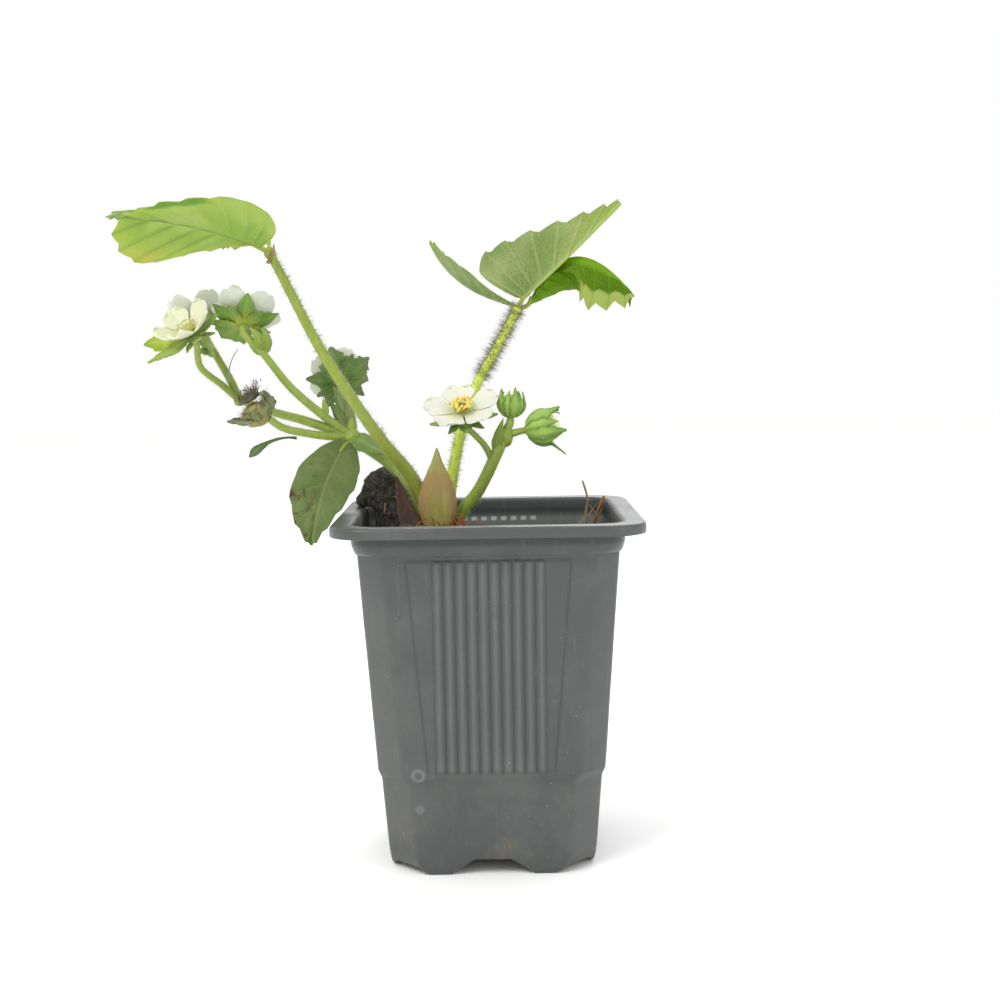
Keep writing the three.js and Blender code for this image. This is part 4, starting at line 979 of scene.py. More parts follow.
# The blade of a leaflet: its midrib bends from base over bow to tip, and each half has its own width and angle.
# A tooth stands at the end of each vein; behind it the margin rises slowly, before it it falls to a notch.
def leafletRows(base, bow, tip, left, right, upward=(0, 0, 1), teeth=7, toothDepth=1.4, pleat=0.35, sharp=0.8,
                growth=-0.6, rootward=0.36, smoothUntil=0.0):
    midrib = bowCurve(base, bow, tip)
    length = midrib[1][-1]
    columns = 2 * teeth + 4
    s = np.array([2 * k + step for k in range(columns // 2) for step in veinSteps] + [columns])
    share = np.concatenate([-np.array(shareSteps[:0:-1]), shareSteps])
    s, share = np.meshgrid(s, share, indexing="ij")
    c, side = s / columns, np.abs(share)
    edge = length * (1 - np.cos(pi * c)) / 2
    root = length * c * (rootward + (1 - rootward) * c)

    def pick(key, without=0.0):
        return np.where(share >= 0, left.get(key, without), right.get(key, without))

    # The margin as it would be without teeth, and how far its veins lean forward
    skew = np.log(0.5) / np.log(pick("widest"))
    outline = np.sin(pi * np.minimum(1, (edge / length) ** skew)) ** pick("blunt", 0.9)
    outline = np.maximum(0.35, pick("width") * outline)
    shift = 6.75 * pick("ahead") * c * c * (1 - c) - pick("lobe") * (1 - c) ** 2 * np.sqrt(np.minimum(1, s / 2))
    beyond = s % 2
    tooth = np.where(beyond < 0.7, 1 - (beyond / 0.7) ** sharp, (np.maximum(beyond - 0.7, 0) / 1.3) ** 0.75)
    tooth = toothDepth * tooth * (s > 2.7) * (s < columns - 1.3) * (c >= smoothUntil)
    outer = np.clip((side - 0.6) / 0.4, 0, 1)
    x = root + (edge + shift - root) * side + tooth * (0.35 + 0.75 * c) * outer
    y = np.sign(share) * (outline * side + (tooth * 0.8 + toothDepth * 0.2) * (1 + growth * c) * outer)

    # Onto the bent midrib, each half turned by its angle
    along = directionOn(midrib, x)
    across = unit(np.cross(np.array(upward, float), along))
    normal = np.cross(along, across)
    angle = np.radians(pick("angle"))
    spread = np.abs(y)
    onRib = np.clip(x, 0, length)
    rows = (placeOn(midrib, onRib) + along * (x - onRib)[..., None] + across * (y * np.cos(angle))[..., None]
            + normal * (spread * np.sin(angle))[..., None])

    # Pleats between the veins, a slow ripple, and furrows over veins and rib
    fromVein = np.minimum(beyond, 2 - beyond) * length / columns
    pastFirst = s > 1.2
    rib = bump(spread, 0.42)
    vein = np.maximum(bump(fromVein, 0.2) * pastFirst * (1 - 0.5 * side) * (side > 0.02), rib)
    rows[..., 2] += pleat * 4 * side * (1 - side) * np.sin(pi * s / 2) ** 2
    ripple = 0.22 * side * np.sin(s * 1.9 + share * 4) * np.sin(s * 0.7)
    rows = rows + normal * (ripple + 0.2 - 0.16 * vein)[..., None]
    return rows, {"vein": vein, "rib": rib, "edge": side, "along": c, "toRight": np.maximum(0, -share),
                  "spotted": (share < -0.2) * side * smoothStep(c, 0.3, 0.5),
                  "foldedOver": (np.clip((share - 0.8) / 0.08, 0, 1)
                                 * np.clip(1 - np.abs(c - 0.62) / 0.15, 0, 0.3) / 0.3),
                  # where painted shade lies along the veins of the blade's right half
                  "furrow": bump(fromVein, 0.45) * pastFirst * np.clip(-share * 6, 0, 1) * (1 - side * 0.5),
                  "warm": bump(c - 0.66, 0.09) * bump(share + 0.93, 0.2)}


# Every other hair stands on the margin, and the rest on both faces, spread by area
def leafHairs(name, rows, count, length):
    margin = measured(np.concatenate([rows[::2, 0], rows[::-2, -1]]))
    middle = rows[:, rows.shape[1] // 2]
    toTip = unit(middle[-1] - middle[0])
    cells = np.linalg.norm(np.cross(rows[1:, :-1] - rows[:-1, :-1], rows[:-1, 1:] - rows[:-1, :-1]), axis=-1)
    area = np.cumsum(cells.ravel())
    hairs = []
    for k in range(count):
        if k % 2:
            here = placeOn(margin, chance.uniform(0, 1) * margin[1][-1])
            nearest = np.argmin(np.linalg.norm(middle - here, axis=1))
            way = unit(here - middle[nearest] + 1e-6) + toTip * 0.7
        else:
            i, j = divmod(int(np.searchsorted(area, chance.uniform(0, 0.999) * area[-1])), cells.shape[1])
            here = (rows[i, j] + rows[i + 1, j + 1]) / 2
            way = unit(np.cross(rows[i + 1, j] - rows[i, j], rows[i, j + 1] - rows[i, j])) + toTip * 0.8
            if chance.random() > 0.5:
                way = toTip * 1.6 - way
        hairs.append((here, way, chance.uniform(0.45, 1.0) * length))
    hairPiece(name, hairs, leafHairWidth, hairGrey)


def leafletPiece(name, node, shape, knot, finishes, hairs, hairLength):
    rows, marks = leafletRows(**shape)
    blade = bladePiece(name + "Blade", rows, leafThickness, marks, finishes, veins=0.5)
    knot, base = np.array(knot, float), np.array(shape["base"], float)
    ahead = base + unit(np.array(shape["bow"], float) - base) * 3
    neckRoute = [knot + (base - knot) * 0.25, (knot + base) / 2, base, ahead]
    neck = stalkPiece(name + "Neck", stalkSurface(neckRoute, (0.8, 0.5), sides=12, spacing=0.4))
    grownTogether(name, node, [blade, coated(neck, petioleSkin)], 50)
    leafHairs(name + "Hairs", rows, hairs, hairLength)


leftKnot, rightKnot, fork = (-60.4, -20, 178.2), (9.6, 15, 162), (-41.1, 8, 124.3)
leaflets = {
    "left_leaflet_near": {
        "base": (-63.3, -21.8, 179.7), "bow": (-78, -27, 186.4), "tip": (-98.6, -32.4, 187.7), "toothDepth": 1.2,
        "pleat": 0.6, "rootward": 0, "left": {"width": 18, "angle": 26, "widest": 0.25, "lobe": 3.4},
        "right": {"width": 15.3, "angle": -46, "widest": 0.7, "ahead": 4.6, "blunt": 0.6}},
    "left_leaflet_end": {
        "base": (-63.6, -18.8, 180.2), "bow": (-86, -8, 196), "tip": (-110.8, 3, 190.6), "teeth": 6,
        "left": {"width": 13, "angle": -4, "widest": 0.56}, "right": {"width": 12, "angle": -14, "widest": 0.5}},
    "left_leaflet_far": {
        "base": (-61, -16.2, 180.6), "bow": (-66.5, 1, 203), "tip": (-80, 25, 183), "teeth": 5,
        "left": {"width": 10.4, "angle": -40, "widest": 0.6}, "right": {"width": 9, "angle": -50, "widest": 0.55}},
    "right_leaflet_end": {
        "base": (11.4, 13.4, 165.2), "bow": (24, 11.5, 176), "tip": (41.6, 13, 193.6), "upward": (-0.35, 0.75, 0.4),
        "toothDepth": 1.7, "sharp": 0.6, "rootward": 0, "left": {"width": 14, "angle": 84, "widest": 0.3},
        "right": {"width": 16.8, "angle": 28, "widest": 0.12, "lobe": 7}},
    "right_leaflet_side": {
        "base": (13, 15.8, 163.4), "bow": (26, 16.6, 191.4), "tip": (45.4, 11, 165.6), "teeth": 9, "toothDepth": 2.2,
        "sharp": 0.7, "growth": 0.3, "smoothUntil": 0.57,
        "left": {"width": 12, "angle": -56, "widest": 0.5}, "right": {"width": 12.4, "angle": -60, "widest": 0.76}},
    "right_leaflet_back": {
        "base": (8.2, 17, 163.8), "bow": (-10.6, 21, 168.6), "tip": (-16.8, 24, 183.4), "teeth": 6,
        "left": {"width": 9.4, "angle": 30, "widest": 0.57}, "right": {"width": 5, "angle": 24, "widest": 0.5}},
    "hanging_bract": {
        "base": (-42.9, 6, 122.2), "bow": (-50.8, 2, 112), "tip": (-53.6, 2, 92), "upward": (0.1, -1, 0.1),
        "left": {"width": 8.4, "angle": 0, "widest": 0.34, "lobe": 2.6},
        "right": {"width": 9.2, "angle": 12, "widest": 0.5, "lobe": 3.4}, "teeth": 5, "toothDepth": 0.8},
}
for name, node, knot, finishes, slotName, hairs, hairLength in (
        ("leftNearLeaflet", "left_leaflet_near", leftKnot, (leafAbove, lightBelow), "leaf_pale", 200, 0.8),
        ("leftEndLeaflet", "left_leaflet_end", leftKnot, (leafAbove, leafBelow), "leaf_dark", 160, 0.8),
        ("leftFarLeaflet", "left_leaflet_far", leftKnot, (leafAbove, leafBelow), "leaf_dark", 140, 0.8),
        ("rightEndLeaflet", "right_leaflet_end", rightKnot, (leafAbove, paleBelow), "leaf_pale", 170, 0.8),
        ("rightSideLeaflet", "right_leaflet_side", rightKnot, (sideAbove, sideBelow), "leaf_dark", 120, 0.7),
        ("rightBackLeaflet", "right_leaflet_back", rightKnot, (leafAbove, backBelow), "leaf_pale", 24, 0.7),
        ("hangingBract", "hanging_bract", fork, (oldAbove, oldBelow), "old_leaf", 160, 0.6)):
    leafletPiece(name, node, leaflets[node], knot, finishes, hairs, hairLength)


print("petioles and stalks")


# A narrow blade that bows from base to tip and faces one way; it keeps its widest part where wide says
def strapRows(base, bow, tip, halfWidth, facing, fold=0.0, wide=0.35, ragged=0.0, steps=22, teeth=0, curl=0.0):
    curve = bowCurve(base, bow, tip)
    t, share = np.meshgrid(np.linspace(0, 1, steps + 1), np.linspace(-1, 1, 9), indexing="ij")
    ahead = directionOn(curve, t * curve[1][-1])
    side = unit(np.cross(np.array(facing, float), ahead))
    normal = np.cross(ahead, side)
    skew = math.log(0.5) / math.log(wide)
    width = halfWidth * np.maximum(0.06, 0.35 * (1 - t) + np.sin(pi * np.minimum(1, t ** skew)))
    if teeth:
        width = width * (0.82 + 0.36 * ((t * teeth) % 1) * (t < 0.97))
    for i, j in np.ndindex(width.shape):
        width[i, j] *= 1 + ragged * noise.noise((i * 0.9, share[i, j] * 3, halfWidth * 7))
    cross = share * width
    wave = curl * share ** 2 * np.sin(5.1 * t + 3.3 * share + halfWidth * 9) * np.sqrt(t)
    furrow = 0.06 * halfWidth * bump(share, 0.22) * np.sin(pi * t)
    lift = np.abs(cross) * fold + wave - furrow
    rows = placeOn(curve, t * curve[1][-1]) + side * cross[..., None] + normal * lift[..., None]
    return rows, {"along": t, "edge": np.abs(share), "vein": bump(share, 0.16), "spotted": np.full_like(t, 0.6)}


def strapPiece(name, shape, finishes, thickness=0.5, place=None, **options):
    rows, marks = strapRows(*shape, **options)
    return bladePiece(name, place(rows) if place else rows, thickness, marks, finishes)


def markAlong(piece, value):
    attribute = piece.data.attributes.new("along", "FLOAT", "POINT")
    attribute.data.foreach_set("value", [value] * len(piece.data.vertices))
    return piece


def stalkLump(name, place, size, finish, along=0.5):
    return coated(markAlong(lumpPiece(name, place, size, 0.12, 4), along), finish)


leftPetiole = {
    "route": [(-16, -1.8, 95), (-18.6, -3, 104.6), (-23.2, -5.6, 113.9), (-30.5, -11, 123.8), (-39.3, -16, 137.7),
              (-48, -18.4, 152.7), (-55.6, -19.6, 168.3), leftKnot],
    "radii": (2.1, 1.2), "knot": 1.7,
    "wing": ((-17.5, -1.6, 99), (-19.5, -2.2, 109), (-27.5, -9, 119.5), 1.7, (0.25, -0.9, 0.1)),
}
rightPetiole = {
    "route": [(-12.6, 0.5, 95), (-11.8, 2, 103.6), (-10.8, 3, 111.1), (-8.5, 6, 123), (-5.7, 9, 133.4),
              (-1.9, 12, 141.5), (4.4, 14, 152.4), rightKnot],
    "radii": (1.9, 1.2), "knot": 1.5,
}


def makePetiole(name, node, shape, finish, hairs, favour, hairLength, start):
    surface = stalkSurface(shape["route"], shape["radii"], sides=22, spacing=0.8)
    pieces = [coated(stalkPiece(name + "Stalk", surface), finish),
              stalkLump(name + "Knot", shape["route"][-1], [shape["knot"]] * 3, finish, 0.9)]
    if "wing" in shape:
        pieces.append(strapPiece(name + "Wing", shape["wing"], (wingSkin, wingSkin)))
    grownTogether(name, node, pieces)
    hairsOnStalk(name + "Hairs", surface, hairs, hairLength, 0.05, hairBrown, favour, start)
    hairsOnStalk(name + "Down", surface, 700, 0.7, 0.03, hairGrey, None, 0.05)
    return surface


# The knot at the right petiole's top stands in a ruff of long hairs
def rightKnotRuff():
    hairs = []
    for k in range(260):
        way = unit(polar(2.4 * k, 1, 1.4 * (k / 130) - 0.9))
        hairs.append((rightKnot + way * 1.4, way, chance.uniform(1.2, 2.8)))
    hairPiece("rightKnotRuff", hairs, 0.055, hairBrown)


def knotRemains():
    threads = []
    for k in range(3):
        x, y, z = 0.4 * k, 0.3 * k, 0.9 * k
        route = [(-60.9 + x, -21.2 + y, 175.2 + z), (-60 + x, -21.6 + y, 177 + z), (-59.8 + x, -21.4, 178.6 + z)]
        threads.append((route, (0.6, 0.2)))
    threadPiece("knotRemains", threads, brownTuft)


makePetiole("leftPetiole", "left_petiole", leftPetiole, petioleSkin, 1300, (0.9, 0, -0.3), 1.5, 0.12)
rightSurface = makePetiole("rightPetiole", "right_petiole", rightPetiole, brightPetiole, 1500, None, 1.7, 0.2)
hairsOnStalk("rightPetioleRuff", rightSurface, 1300, 2.8, 0.06, hairBrown, None, 0.68, 1.0, 0.1)
rightKnotRuff()
knotRemains()


# Flowers and buds are shaped standing up; this puts their points where the plant has them
def frameOf(shape):
    z = unit(shape["facing"])
    x = unit(np.array([1.0, 0, 0]) - z * z[0])
    basis = np.stack([x, np.cross(z, x), z])
    return lambda points: np.array(shape["place"], float) + np.asarray(points, float) @ basis


def turned(points, degrees):
    c, s = math.cos(math.radians(degrees)), math.sin(math.radians(degrees))
    x, y = points[..., 0], points[..., 1]
    return np.stack([x * c - y * s, x * s + y * c, points[..., 2]], -1)


def moved(piece, place):
    for v, p in zip(piece.data.vertices, place(pointsOf(piece))):
        v.co = Vector(p * mm)
    return piece


# A place on a flower, and the way from it to another
def fromTo(place, root, end):
    return place(root), place(end) - place(root)


flowers = {
    "outer": {"place": (-86.6, -6, 156.4), "facing": (-0.36, -0.5, 0.76), "turn": 52, "cup": 34, "petals": 0.93,
              "sepals": 1.3, "leafy": {"angle": 178, "longer": 1.15, "wider": 0.9, "roll": 0.8}},
    "back": {"place": (-87.4, 13, 161), "facing": (-0.25, 0.3, 0.9), "turn": 18, "cup": 30, "petals": 1, "sepals": 1,
             "breadth": 1.25},
    "top": {"place": (-71.6, 1.5, 159.9), "facing": (0.06, 0.62, 0.78), "turn": 30, "cup": 26, "petals": 1.06,
            "sepals": 1.3, "leafy": {"angle": 150, "longer": 0.1, "wider": 0.8, "droop": 0.3}, "hug": 0.8,
            "breadth": 1.5},
    "middle": {"place": (-45.6, 19.5, 141.6), "facing": (-0.3, 0.82, 0.4), "turn": 80, "cup": 24, "petals": 0.95,
               "sepals": 1.35, "leafy": {"angle": 300, "longer": 0.15, "wider": 0.4}, "hug": 0.6, "breadth": 1.5,
               "ragged": 0.4, "curl": 0.9},
    "right": {"place": (-7, -12, 132.2), "facing": (-0.08, -0.5, 0.86), "turn": 26, "cup": 14, "petals": 1.14,
              "sepals": 1.35, "breadth": 1.2, "curl": 0.5},
}
buds = {
    "upright": {"place": (6.9, -9, 130), "facing": (0.08, 0, 1), "length": 8.8, "width": 7.8, "open": 0.25},
    "side": {"place": (11.2, -9, 126.4), "facing": (0.95, 0, 0.16), "length": 11.8, "width": 10.6, "open": 0.5},
}
spent = {"place": (-66.4, -4, 129), "facing": (-0.42, -0.1, 0.9)}
rightFork, secondFork = (5.6, -9, 125.4), (-75, 8, 136)


# A stalk's last two points, under the flower or bud that it carries
def underEnd(shape, depth=2.2):
    back = unit(shape["facing"])
    end = np.array(shape["place"], float) - back * (depth - 0.5)
    return [end - back * 2.2, end]


leftStalks = {
    "main": ([(-16.6, 3.4, 95), (-19.2, 5.6, 101.3), (-23.2, 8, 109.3), (-27.8, 10, 114.6), (-34.4, 10, 119.6), fork],
             (2.6, 2.1)),
    "long": ([fork, (-49, 6.6, 127.3), (-56.5, 6.6, 129.9), (-65.2, 8, 132.3), secondFork], (1.5, 1.2)),
    "toBack": ([secondFork, (-77.7, 8.5, 142.2), (-81.4, 9.8, 148.6), *underEnd(flowers["back"])], (1.3, 1)),
    "toOuter": ([secondFork, (-79.6, 5.4, 140.6), (-85, 0.6, 146.2), *underEnd(flowers["outer"])], (1.1, 0.9)),
    "toSpent": ([fork, (-48, 4.6, 124.8), (-54.5, 1.6, 126), (-60.6, -1.6, 127.8), (-64.4, -3.4, 130.6)], (1.3, 1.1)),
    "toTop": ([fork, (-49.6, 5, 131.2), (-58.6, 3, 139.6), (-65.8, 0.6, 149.4), *underEnd(flowers["top"])],
              (1.35, 1.05)),
    "toMiddle": ([fork, (-41.6, 9.4, 129.6), (-43.4, 11.4, 135.6), *underEnd(flowers["middle"])], (1.8, 1.5)),
}
rightStalks = {
    "main": ([(-10.6, -3, 95), (-7.4, -4.6, 102.6), (-3.2, -6, 107.9), (0.8, -8, 115.4), (3.6, -9, 121.4), rightFork],
             (1.9, 1.7)),
    "toFlower": ([(1.6, -8.2, 117.2), (-0.6, -9.2, 122), *underEnd(flowers["right"])], (1, 0.8)),
    "toUpright": ([rightFork, (6.2, -9, 127.4), *underEnd(buds["upright"], 0)], (1.5, 1)),
    "toSide": ([rightFork, (7.6, -9, 125.6), *underEnd(buds["side"], 0)], (1.2, 0.9)),
}
leftStraps = (
    (((-40.6, 6.6, 124.4), (-36, 5, 122.5), (-31.6, 6.2, 119), 2.6, (0.1, -0.8, 0.6)), hairyGreen,
     {"fold": -0.2, "ragged": 0.2, "curl": 0.3}),
    (((-66.2, 0.4, 149.8), (-63, -0.6, 154), (-66.4, -1, 157.4), 1.9, (0.8, -0.6, 0.1)), freshBract,
     {"fold": -0.3, "ragged": 0.2}),
    (((-66.8, 0.2, 149.4), (-65.4, -2, 154), (-69.6, -2.6, 157.6), 1.6, (0.3, -1, 0.1)), freshBract,
     {"fold": -0.3, "ragged": 0.2}),
    (((-67, 0.2, 149.6), (-69, -1.2, 153.6), (-71.8, -0.8, 156), 1.2, (-0.3, -1, 0.1)), freshBract,
     {"fold": -0.3, "ragged": 0.2}),
    (((-48.2, 5.4, 131.2), (-48.9, 5.6, 133.6), (-49.4, 5.4, 136.4), 0.8, (0, -1, 0.1)), freshBract, {}),
    (((-42.4, 8, 126.4), (-45.2, 7.2, 131), (-47.6, 7.6, 135.6), 1.3, (0, -1, 0.1)), duskyGreen,
     {"ragged": 0.3, "curl": 0.5}),
    (((-42, 8.6, 128), (-43.8, 7.8, 134), (-46.4, 9, 139.4), 1.5, (0.2, -1, 0.1)), duskyGreen,
     {"ragged": 0.3, "curl": 0.5}),
    (((-41.4, 8.4, 127), (-41.2, 7.4, 131.6), (-42.6, 8.2, 136), 1.1, (0.3, -1, 0.1)), duskyGreen,
     {"ragged": 0.3, "curl": 0.5}),
    (((-82.2, 8.6, 150), (-84.2, 5.6, 151.4), (-87.4, 4.4, 150.6), 1.4, (0, -0.8, 0.6)), freshBract,
     {"ragged": 0.3, "teeth": 3}),
    (((-82.4, 8.4, 151.6), (-84, 5, 154), (-88, 3.6, 154.4), 1.5, (0, -0.8, 0.6)), freshBract,
     {"ragged": 0.3, "teeth": 3}),
)
rightStraps = (
    (((2.6, -9.4, 119.6), (2.8, -11.6, 124.6), (5, -11.2, 130.2), 1.35, (-0.3, -1, 0)), sheathGreen,
     {"fold": -0.25, "ragged": 0.12}),
)


stalkStep, hairsPerMillimetre = 0.7, 13


def makeStalks(name, node, stalks, knots, straps, hairLength):
    pieces = []
    for part, (route, radii) in stalks.items():
        surface = stalkSurface(route, radii, sides=16, spacing=stalkStep)
        if part != "main":
            surface["t"] = 0.25 + 0.75 * surface["t"]
        pieces.append(coated(stalkPiece(name + part, surface), stalkSkin))
        count = int(len(surface["rows"]) * stalkStep * hairsPerMillimetre)
        hairsOnStalk(name + "Hairs" + part, surface, count, hairLength, 0.035, hairGrey,
                     start=0.12 if part == "main" else 0.05)
    for k, (place, size) in enumerate(knots):
        pieces.append(stalkLump(f"{name}Lump{k}", place, size, stalkSkin))
    for k, (shape, skin, options) in enumerate(straps):
        pieces.append(strapPiece(f"{name}Strap{k}", shape, (skin, skin), **options))
    grownTogether(name, node, pieces)


leftKnots = ((fork, (2.6, 2.6, 2.6)), (secondFork, (1.7, 1.6, 1.9)))
rightKnots = (((5.4, -9, 124.6), (2.3, 2.1, 3)),)
makeStalks("leftFlowerStalks", "left_flower_stalks", leftStalks, leftKnots, leftStraps, 1.0)
makeStalks("rightFlowerStalks", "right_flower_stalks", rightStalks, rightKnots, rightStraps, 1.1)
filamentRoute = [(-76.9, 2.6, 141.6), (-76.9, 2, 144.4), (-75.9, 1.8, 148.1), (-73.9, 1.6, 151.4)]
threadPiece("looseFilament", [(filamentRoute, (0.24, 0.12))], hairBrown)
bractShape = ((-57, 0.4, 124.6), (-64.5, -2.4, 126), (-70.6, -3.4, 119.4), 1.3, (0.2, -0.6, 0.7))
strapBract = strapPiece("strapBract", bractShape, (bractSkin, bractSkin), wide=0.84, curl=0.4, ragged=0.15)
grownTogether("strapBract", "strap_bract", [strapBract])


print("flowers")

# Millimetres in a flower whose petals and sepals have the size 1
petal = {"count": 5, "from": 1.8, "to": 10, "halfWidth": 4.25, "broadest": 0.58, "notch": 0.35, "thickness": 0.4}
sepal = {"count": 10, "from": 1.9, "length": 7.4, "halfWidth": 1.5, "low": -1.05, "innerLow": -1.85, "thickness": 0.42}
stamens = {"ring": 2.0, "foot": 0.8, "reach": 2.15, "anthers": ((0.26, 0.34), (0.36, 0.46), (0.46, 0.6))}
dome = {"styles": 90, "radius": 1.75, "top": 2.45, "drop": 0.85, "turn": 2.39996}


def petalRows(shape, k):
    t, share = np.meshgrid(np.linspace(0, 1, 17), np.linspace(-1, 1, 15), indexing="ij")
    size = shape["petals"]
    out = petal["from"] + (petal["to"] * size - petal["from"]) * t
    rounding = np.sqrt(np.maximum(0.14, 1 - ((t - petal["broadest"]) / 0.47) ** 2))
    half = np.minimum(0.66 * out, petal["halfWidth"] * size * rounding)
    x = out - 1.5 * size * share ** 4 * t ** 8 - petal["notch"] * bump(share, 0.25) * t ** 12
    y = half * share * (1 + 0.03 * np.sin(9 * t + k))
    cup = math.tan(math.radians(shape["cup"])) * out * t ** 0.7 * (1 - 0.25 * t) + 0.9 * np.abs(share) * t
    groove = 0.25 * bump(share, 0.18) * t * (1 - 0.5 * t)
    waves = (0.25 * np.sin(3.4 * share + 1.7 * k) * np.abs(share) + 0.2 * np.sin(5 * t + 2.3 * k + 2 * share)) * t
    streak = np.abs(np.cos(share * 14 + 0.6 * np.sin(3 * t))) * t ** 0.5 * (1 - t * 0.4)
    return turned(np.stack([x, y, cup - groove + waves], -1), shape["turn"] + 72 * k), {"along": t, "streak": streak}


def makePetals(name, shape, finish):
    place = frameOf(shape)
    pieces = []
    for k in range(petal["count"]):
        rows, marks = petalRows(shape, k)
        pieces.append(bladePiece(f"{name}Petal{k}", place(rows), petal["thickness"], marks, [finish]))
    hub = markAlong(lumpPiece(name + "Hub", (0, 0, 0), (2.3, 2.3, 0.42), 0.05), 0.0)
    pieces.append(coated(moved(hub, place), finish))
    grownTogether(name + "Petals", name + "_flower_petals", pieces, 70)


# A round form from its profile: radius and height, from the bottom up
def lathed(name, profile, place, finish):
    angles = np.linspace(0, 2 * pi, 24, endpoint=False)
    piece = tubePiece(name, [[polar(a, r, z) for a in angles] for r, z in profile])
    return coated(moved(piece, place), finish)


cupProfile = ((0.9, -2.2), (1.6, -2.15), (2.3, -1.95), (2.7, -1.6), (2.75, -1.2), (2.5, -0.75), (1.2, -0.7))
domeProfile = ((0.8, 0.66), (1.7, 0.7), (1.85, 1.1), (1.75, 1.6), (1.35, 2.1), (0.8, 2.4), (0.2, 2.5))


# Broad and narrow sepals take turns. Those on a flower's leafy side are longer and wider.
def makeCalyx(name, shape, above, leafyAbove, cupSkin):
    place = frameOf(shape)
    pieces = [lathed(name + "Cup", cupProfile, place, cupSkin)]
    leafy = shape.get("leafy", {"angle": 0, "longer": 0, "wider": 0})
    hug, breadth = shape.get("hug", 0.45), shape.get("breadth", 1)
    for k in range(sepal["count"]):
        broad = k % 2 == 0
        angle = shape["turn"] + 36 + 36 * k
        near = max(0, math.cos(math.radians(angle - leafy["angle"]))) ** 2
        longer, large = near * leafy["longer"], near > 0.5 and leafy["wider"] > 0
        length = sepal["length"] * shape["sepals"] * (1 if broad else 0.8) * (1 + longer)
        halfWidth = sepal["halfWidth"] * breadth * (1 + leafy["wider"] * near if broad else 0.62)
        rise = math.tan(math.radians(shape["cup"] * hug * (1 if broad else 0.45))) * (1 - longer)
        lift = (rise - (near * leafy.get("droop", 0) if broad else 0)) * length
        start, low = sepal["from"], sepal["low" if broad else "innerLow"]
        strap = ((start, 0, low), (start + length * 0.4, 0, low - 0.3 + lift * 0.3),
                 (start + length * 0.85, 0, low - 0.5 + lift), halfWidth * (1.25 if large else 1),
                 (0, leafy.get("roll", 0) if large else 0, 1))
        form = {"wide": 0.45, "fold": -0.12, "ragged": shape.get("ragged", 0.14)}
        if large:
            form.update(steps=26, teeth=5, curl=0.35)
        else:
            form.update(steps=14, curl=shape.get("curl", 0.25))
        skin = leafyAbove if large else above
        pieces.append(strapPiece(f"{name}Sepal{k}", strap, (skin, skin), sepal["thickness"],
                                 lambda rows: place(turned(rows, angle)), **form))
    grownTogether(name + "Calyx", name + "_flower_calyx", pieces, 70)
    hairs = []
    for _ in range(170):
        a, r = chance.uniform(0, 2 * pi), chance.uniform(1.2, 5.5)
        hairs.append((*fromTo(place, polar(a, r, -1.75 if r < 2.7 else -1.6), polar(a, 1.3 * r, -3.6)),
                      chance.uniform(0.5, 1.0)))
    hairPiece(name + "CalyxHairs", hairs, 0.03, hairGrey)


# A dome with styles in a spiral, and stamens round it; a crowded flower's stamens lean every way
def makeCentre(name, shape, pollenSkin, heartSkin, stylesSkin, stamenCount=22, size=1.0):
    place = frameOf(shape)
    seeds = []
    for k in range(dome["styles"]):
        a, share = k * dome["turn"], math.sqrt((k + 0.5) / dome["styles"])
        r, z = dome["radius"] * share, dome["top"] - dome["drop"] * share ** 2.2
        seeds.append((*fromTo(place, polar(a, r, z), polar(a, 1.5 * r, z + 1.2)),
                      (0.13, 0.13, chance.uniform(0.24, 0.4))))
    legs, tops = [], []
    for k in range(stamenCount):
        a = 2 * pi * (k + chance.uniform(0.2, 0.8)) / stamenCount
        reach = stamens["reach"] + 0.75 * (k % 2) + chance.uniform(-0.2, 0.2)
        if stamenCount > 40:
            reach = chance.uniform(1.3, 3.6)
        foot = polar(a, stamens["ring"], stamens["foot"])
        head = polar(a, reach, (2.7 if k % 2 else 3.15) + chance.uniform(-0.3, 0.25))
        legs.append((*fromTo(place, foot, head), np.linalg.norm(head - foot)))
        way = fromTo(place, head, head + polar(a, 0.5, chance.uniform(0.4, 1.2)))
        tops.append((*way, size * np.array([chance.uniform(*span) for span in stamens["anthers"]])))
    grownTogether(name + "Centre", name + "_flower_centre", [
        lathed(name + "Dome", domeProfile, place, heartSkin),
        lumps(name + "Styles", seedForm, seeds, stylesSkin),
        hairPiece(name + "Legs", legs, 0.12, filament, bend=0.0),
        lumps(name + "Anthers", antherForm, tops, pollenSkin)], 50)


broadSepals = {"outer": outerSepal, "back": calyxBack, "top": topSepal, "middle": middleSepal, "right": calyxBack}
for name, shape in flowers.items():
    makePetals(name, shape, {"right": whitePetal, "outer": creamPetal}.get(name, shadedPetal))
    broad = broadSepals[name]
    makeCalyx(name, shape, broad, leafyYellow if name == "outer" else broad, yellowCup if name == "top" else calyxBack)
    if name == "outer":
        makeCentre(name, shape, palePollen, paleHeart, paleHeart, 18, 0.8)
    elif name == "right":
        makeCentre(name, shape, pollen, brownHeart, styles, 42, 1.2)
    else:
        makeCentre(name, shape, pollen, heart, styles)


print("buds and the faded flower")
budHeights = (0, 0.08, 0.2, 0.35, 0.5, 0.62, 0.74, 0.82, 0.88)
budWidths = (0.22, 0.5, 0.8, 0.96, 1.0, 0.88, 0.6, 0.34, 0.06)
hugUntil = 0.56


def budRadius(shape, z):
    return shape["width"] / 2 * np.interp(z, budHeights, budWidths)


